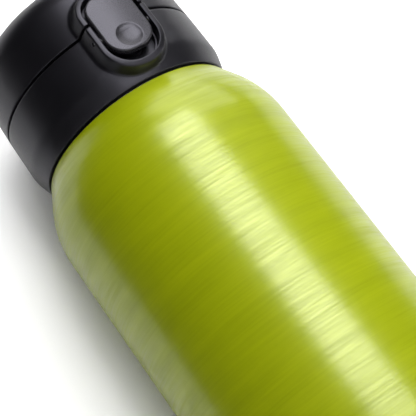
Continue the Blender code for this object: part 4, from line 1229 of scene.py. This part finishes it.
PALE = (0.88, 0.88, 0.88, 1)
# how far round the bottle the painted shade on the floor and backdrop reaches
SHADE_REACH = 0.055
MIRRORED_SHARE = 0.1
UNLIT_SIDE = -52.0
FILL = 0.08
BACKDROP_TURN = -4.5
BACKDROP_LEFT = 0.16
SHEET_HALF = 1.5
LAMP_DISTANCE = 0.7
KEY_TURN = 9.5
KEY_LEVEL = 0.41
KEY_SIZE = (0.42, 0.66)
KEY_WATTS = 5.3
SIDE_TURN = 46.0
SIDE_RISE = 48.0
SIDE_SIZE = (0.60, 0.55)
SIDE_WATTS = 1.95
SIDE_LEVEL = 0.115
BACKDROP_GAP = 0.4


def white_surface(name):
    """Matt white, seen as pure white where it is open, with the bottle's shade kept close to it: its real
    cast shadow, and a painted shade where the glow is dimmed near the bottle by ambient occlusion.
    """
    material = bpy.data.materials.new(name)
    material.use_nodes = True
    tree = material.node_tree
    tree.nodes.clear()
    out = tree.nodes.new("ShaderNodeOutputMaterial")
    diffuse = tree.nodes.new("ShaderNodeBsdfDiffuse")
    diffuse.inputs["Color"].default_value = PALE
    open_share = tree.nodes.new("ShaderNodeAmbientOcclusion")
    open_share.samples = 16
    open_share.inputs["Distance"].default_value = SHADE_REACH
    glow = tree.nodes.new("ShaderNodeEmission")
    # painted shade: the glow that whitens the surface fades where ambient occlusion finds the bottle close by
    painted_shade_glow = mapped(tree, open_share.outputs["AO"], 0.38, 0.64, 0.05, 0.48, smooth=True)
    tree.links.new(combine(tree, "MULTIPLY", painted_shade_glow, seen_directly(tree)), glow.inputs["Strength"])
    total = tree.nodes.new("ShaderNodeAddShader")
    tree.links.new(diffuse.outputs[0], total.inputs[0])
    tree.links.new(glow.outputs[0], total.inputs[1])
    clear = tree.nodes.new("ShaderNodeBsdfTransparent")
    choose = tree.nodes.new("ShaderNodeMixShader")
    back = tree.nodes.new("ShaderNodeNewGeometry")
    tree.links.new(back.outputs["Backfacing"], choose.inputs[0])
    tree.links.new(total.outputs[0], choose.inputs[1])
    tree.links.new(clear.outputs[0], choose.inputs[2])
    tree.links.new(choose.outputs[0], out.inputs["Surface"])
    return material


def seen_directly(tree):
    """One for rays from the camera or through something clear, and a share of it for what gloss mirrors."""
    path = tree.nodes.new("ShaderNodeLightPath")
    mirrored = combine(tree, "MULTIPLY", path.outputs["Is Glossy Ray"], MIRRORED_SHARE)
    seen = combine(tree, "MAXIMUM", path.outputs["Is Camera Ray"], mirrored)
    return combine(tree, "MAXIMUM", seen, path.outputs["Is Transmission Ray"])


def sheet_of(name, centre, normal, half, material):
    """Flat staged surface that faces along a normal."""
    mesh = bpy.data.meshes.new(name)
    turn = Vector((0, 0, 1)).rotation_difference(Vector(normal)).to_matrix()
    corners = [Vector(centre) + turn @ Vector((x * half, y * half, 0))
               for x, y in ((-1, -1), (1, -1), (1, 1), (-1, 1))]
    mesh.from_pydata(corners, [], [(0, 1, 2, 3)])
    mesh.materials.append(material)
    placed(name, mesh)


def soft_lamp(name, place, target, size, watts):
    """Rectangular lamp that shines from a place towards a target."""
    lamp = bpy.data.lights.new(name, "AREA")
    lamp.shape = "RECTANGLE"
    lamp.size, lamp.size_y = size
    lamp.energy = watts
    item = placed(name, lamp)
    item.location = place
    item.rotation_mode = "QUATERNION"
    item.rotation_quaternion = (Vector(target) - Vector(place)).to_track_quat("-Z", "Y")


CAMERA_PLACE = Vector((-0.1356, -0.3147, 0.0259))
CAMERA_RIGHT = Vector((0.80804, -0.15697, -0.56785))
CAMERA_UP = Vector((0.44613, -0.46649, 0.76379))
CAMERA_AHEAD = Vector((0.38478, 0.87049, 0.30692))
CAMERA_LENS = 112.5
SENSOR = 36.0


def make_camera():
    camera = bpy.data.cameras.new("camera")
    camera.lens = CAMERA_LENS
    camera.sensor_width = SENSOR
    camera.clip_start = 0.01
    camera.clip_end = 20
    item = placed("camera", camera)
    turn = Matrix((CAMERA_RIGHT, CAMERA_UP, -CAMERA_AHEAD)).transposed().to_4x4()
    item.matrix_world = Matrix.Translation(CAMERA_PLACE) @ turn
    bpy.context.scene.camera = item


def towards(azimuth, elevation=0.0):
    """Direction from the bottle, by its degrees round from the latch towards +X and its degrees up."""
    turn, rise = math.radians(azimuth), math.radians(elevation)
    return Vector((math.sin(turn) * math.cos(rise), -math.cos(turn) * math.cos(rise), math.sin(rise)))


def make_world():
    """White surroundings, dark on the studio's unlit side, with an even fill on matt surfaces."""
    world = bpy.data.worlds.new("studio")
    bpy.context.scene.world = world
    world.use_nodes = True
    tree = world.node_tree
    glow = tree.nodes["Background"]
    path = tree.nodes.new("ShaderNodeLightPath")
    ahead = tree.nodes.new("ShaderNodeTexCoord").outputs["Generated"]
    level = vector_math(tree, "MULTIPLY", ahead, (1, 1, 0))["Vector"]
    unit = vector_math(tree, "NORMALIZE", level)["Vector"]
    facing = vector_math(tree, "DOT_PRODUCT", unit, towards(UNLIT_SIDE))
    mirrored = mapped(tree, facing["Value"], 0.2, -0.9, 0.01, 1.0)
    white = combine(tree, "MAXIMUM", path.outputs["Is Camera Ray"], path.outputs["Is Transmission Ray"])
    glossy = combine(tree, "MULTIPLY", path.outputs["Is Glossy Ray"], mirrored)
    white = combine(tree, "MAXIMUM", white, glossy)
    tree.links.new(combine(tree, "MAXIMUM", white, FILL), glow.inputs["Strength"])


def make_surroundings():
    make_camera()
    make_world()
    matt = white_surface("pale_floor")
    sheet_of("floor", (0, 0, 0), (0, 0, 1), SHEET_HALF, matt)
    behind = towards(BACKDROP_TURN)
    aside = towards(BACKDROP_TURN + 90) * (SHEET_HALF - BACKDROP_LEFT)
    sheet_of("backdrop", aside - behind * (BODY_RADIUS + BACKDROP_GAP) * MM, behind, SHEET_HALF, matt)
    target = Vector((0, 0, KEY_LEVEL))
    soft_lamp("key", target + towards(KEY_TURN) * LAMP_DISTANCE, target, KEY_SIZE, KEY_WATTS)
    target = Vector((0, 0, SIDE_LEVEL))
    soft_lamp("side", target + towards(SIDE_TURN, SIDE_RISE) * LAMP_DISTANCE, target, SIDE_SIZE, SIDE_WATTS)


make_surroundings()

settings = bpy.context.scene.view_settings
settings.view_transform = "Standard"

bpy.context.view_layer.update()
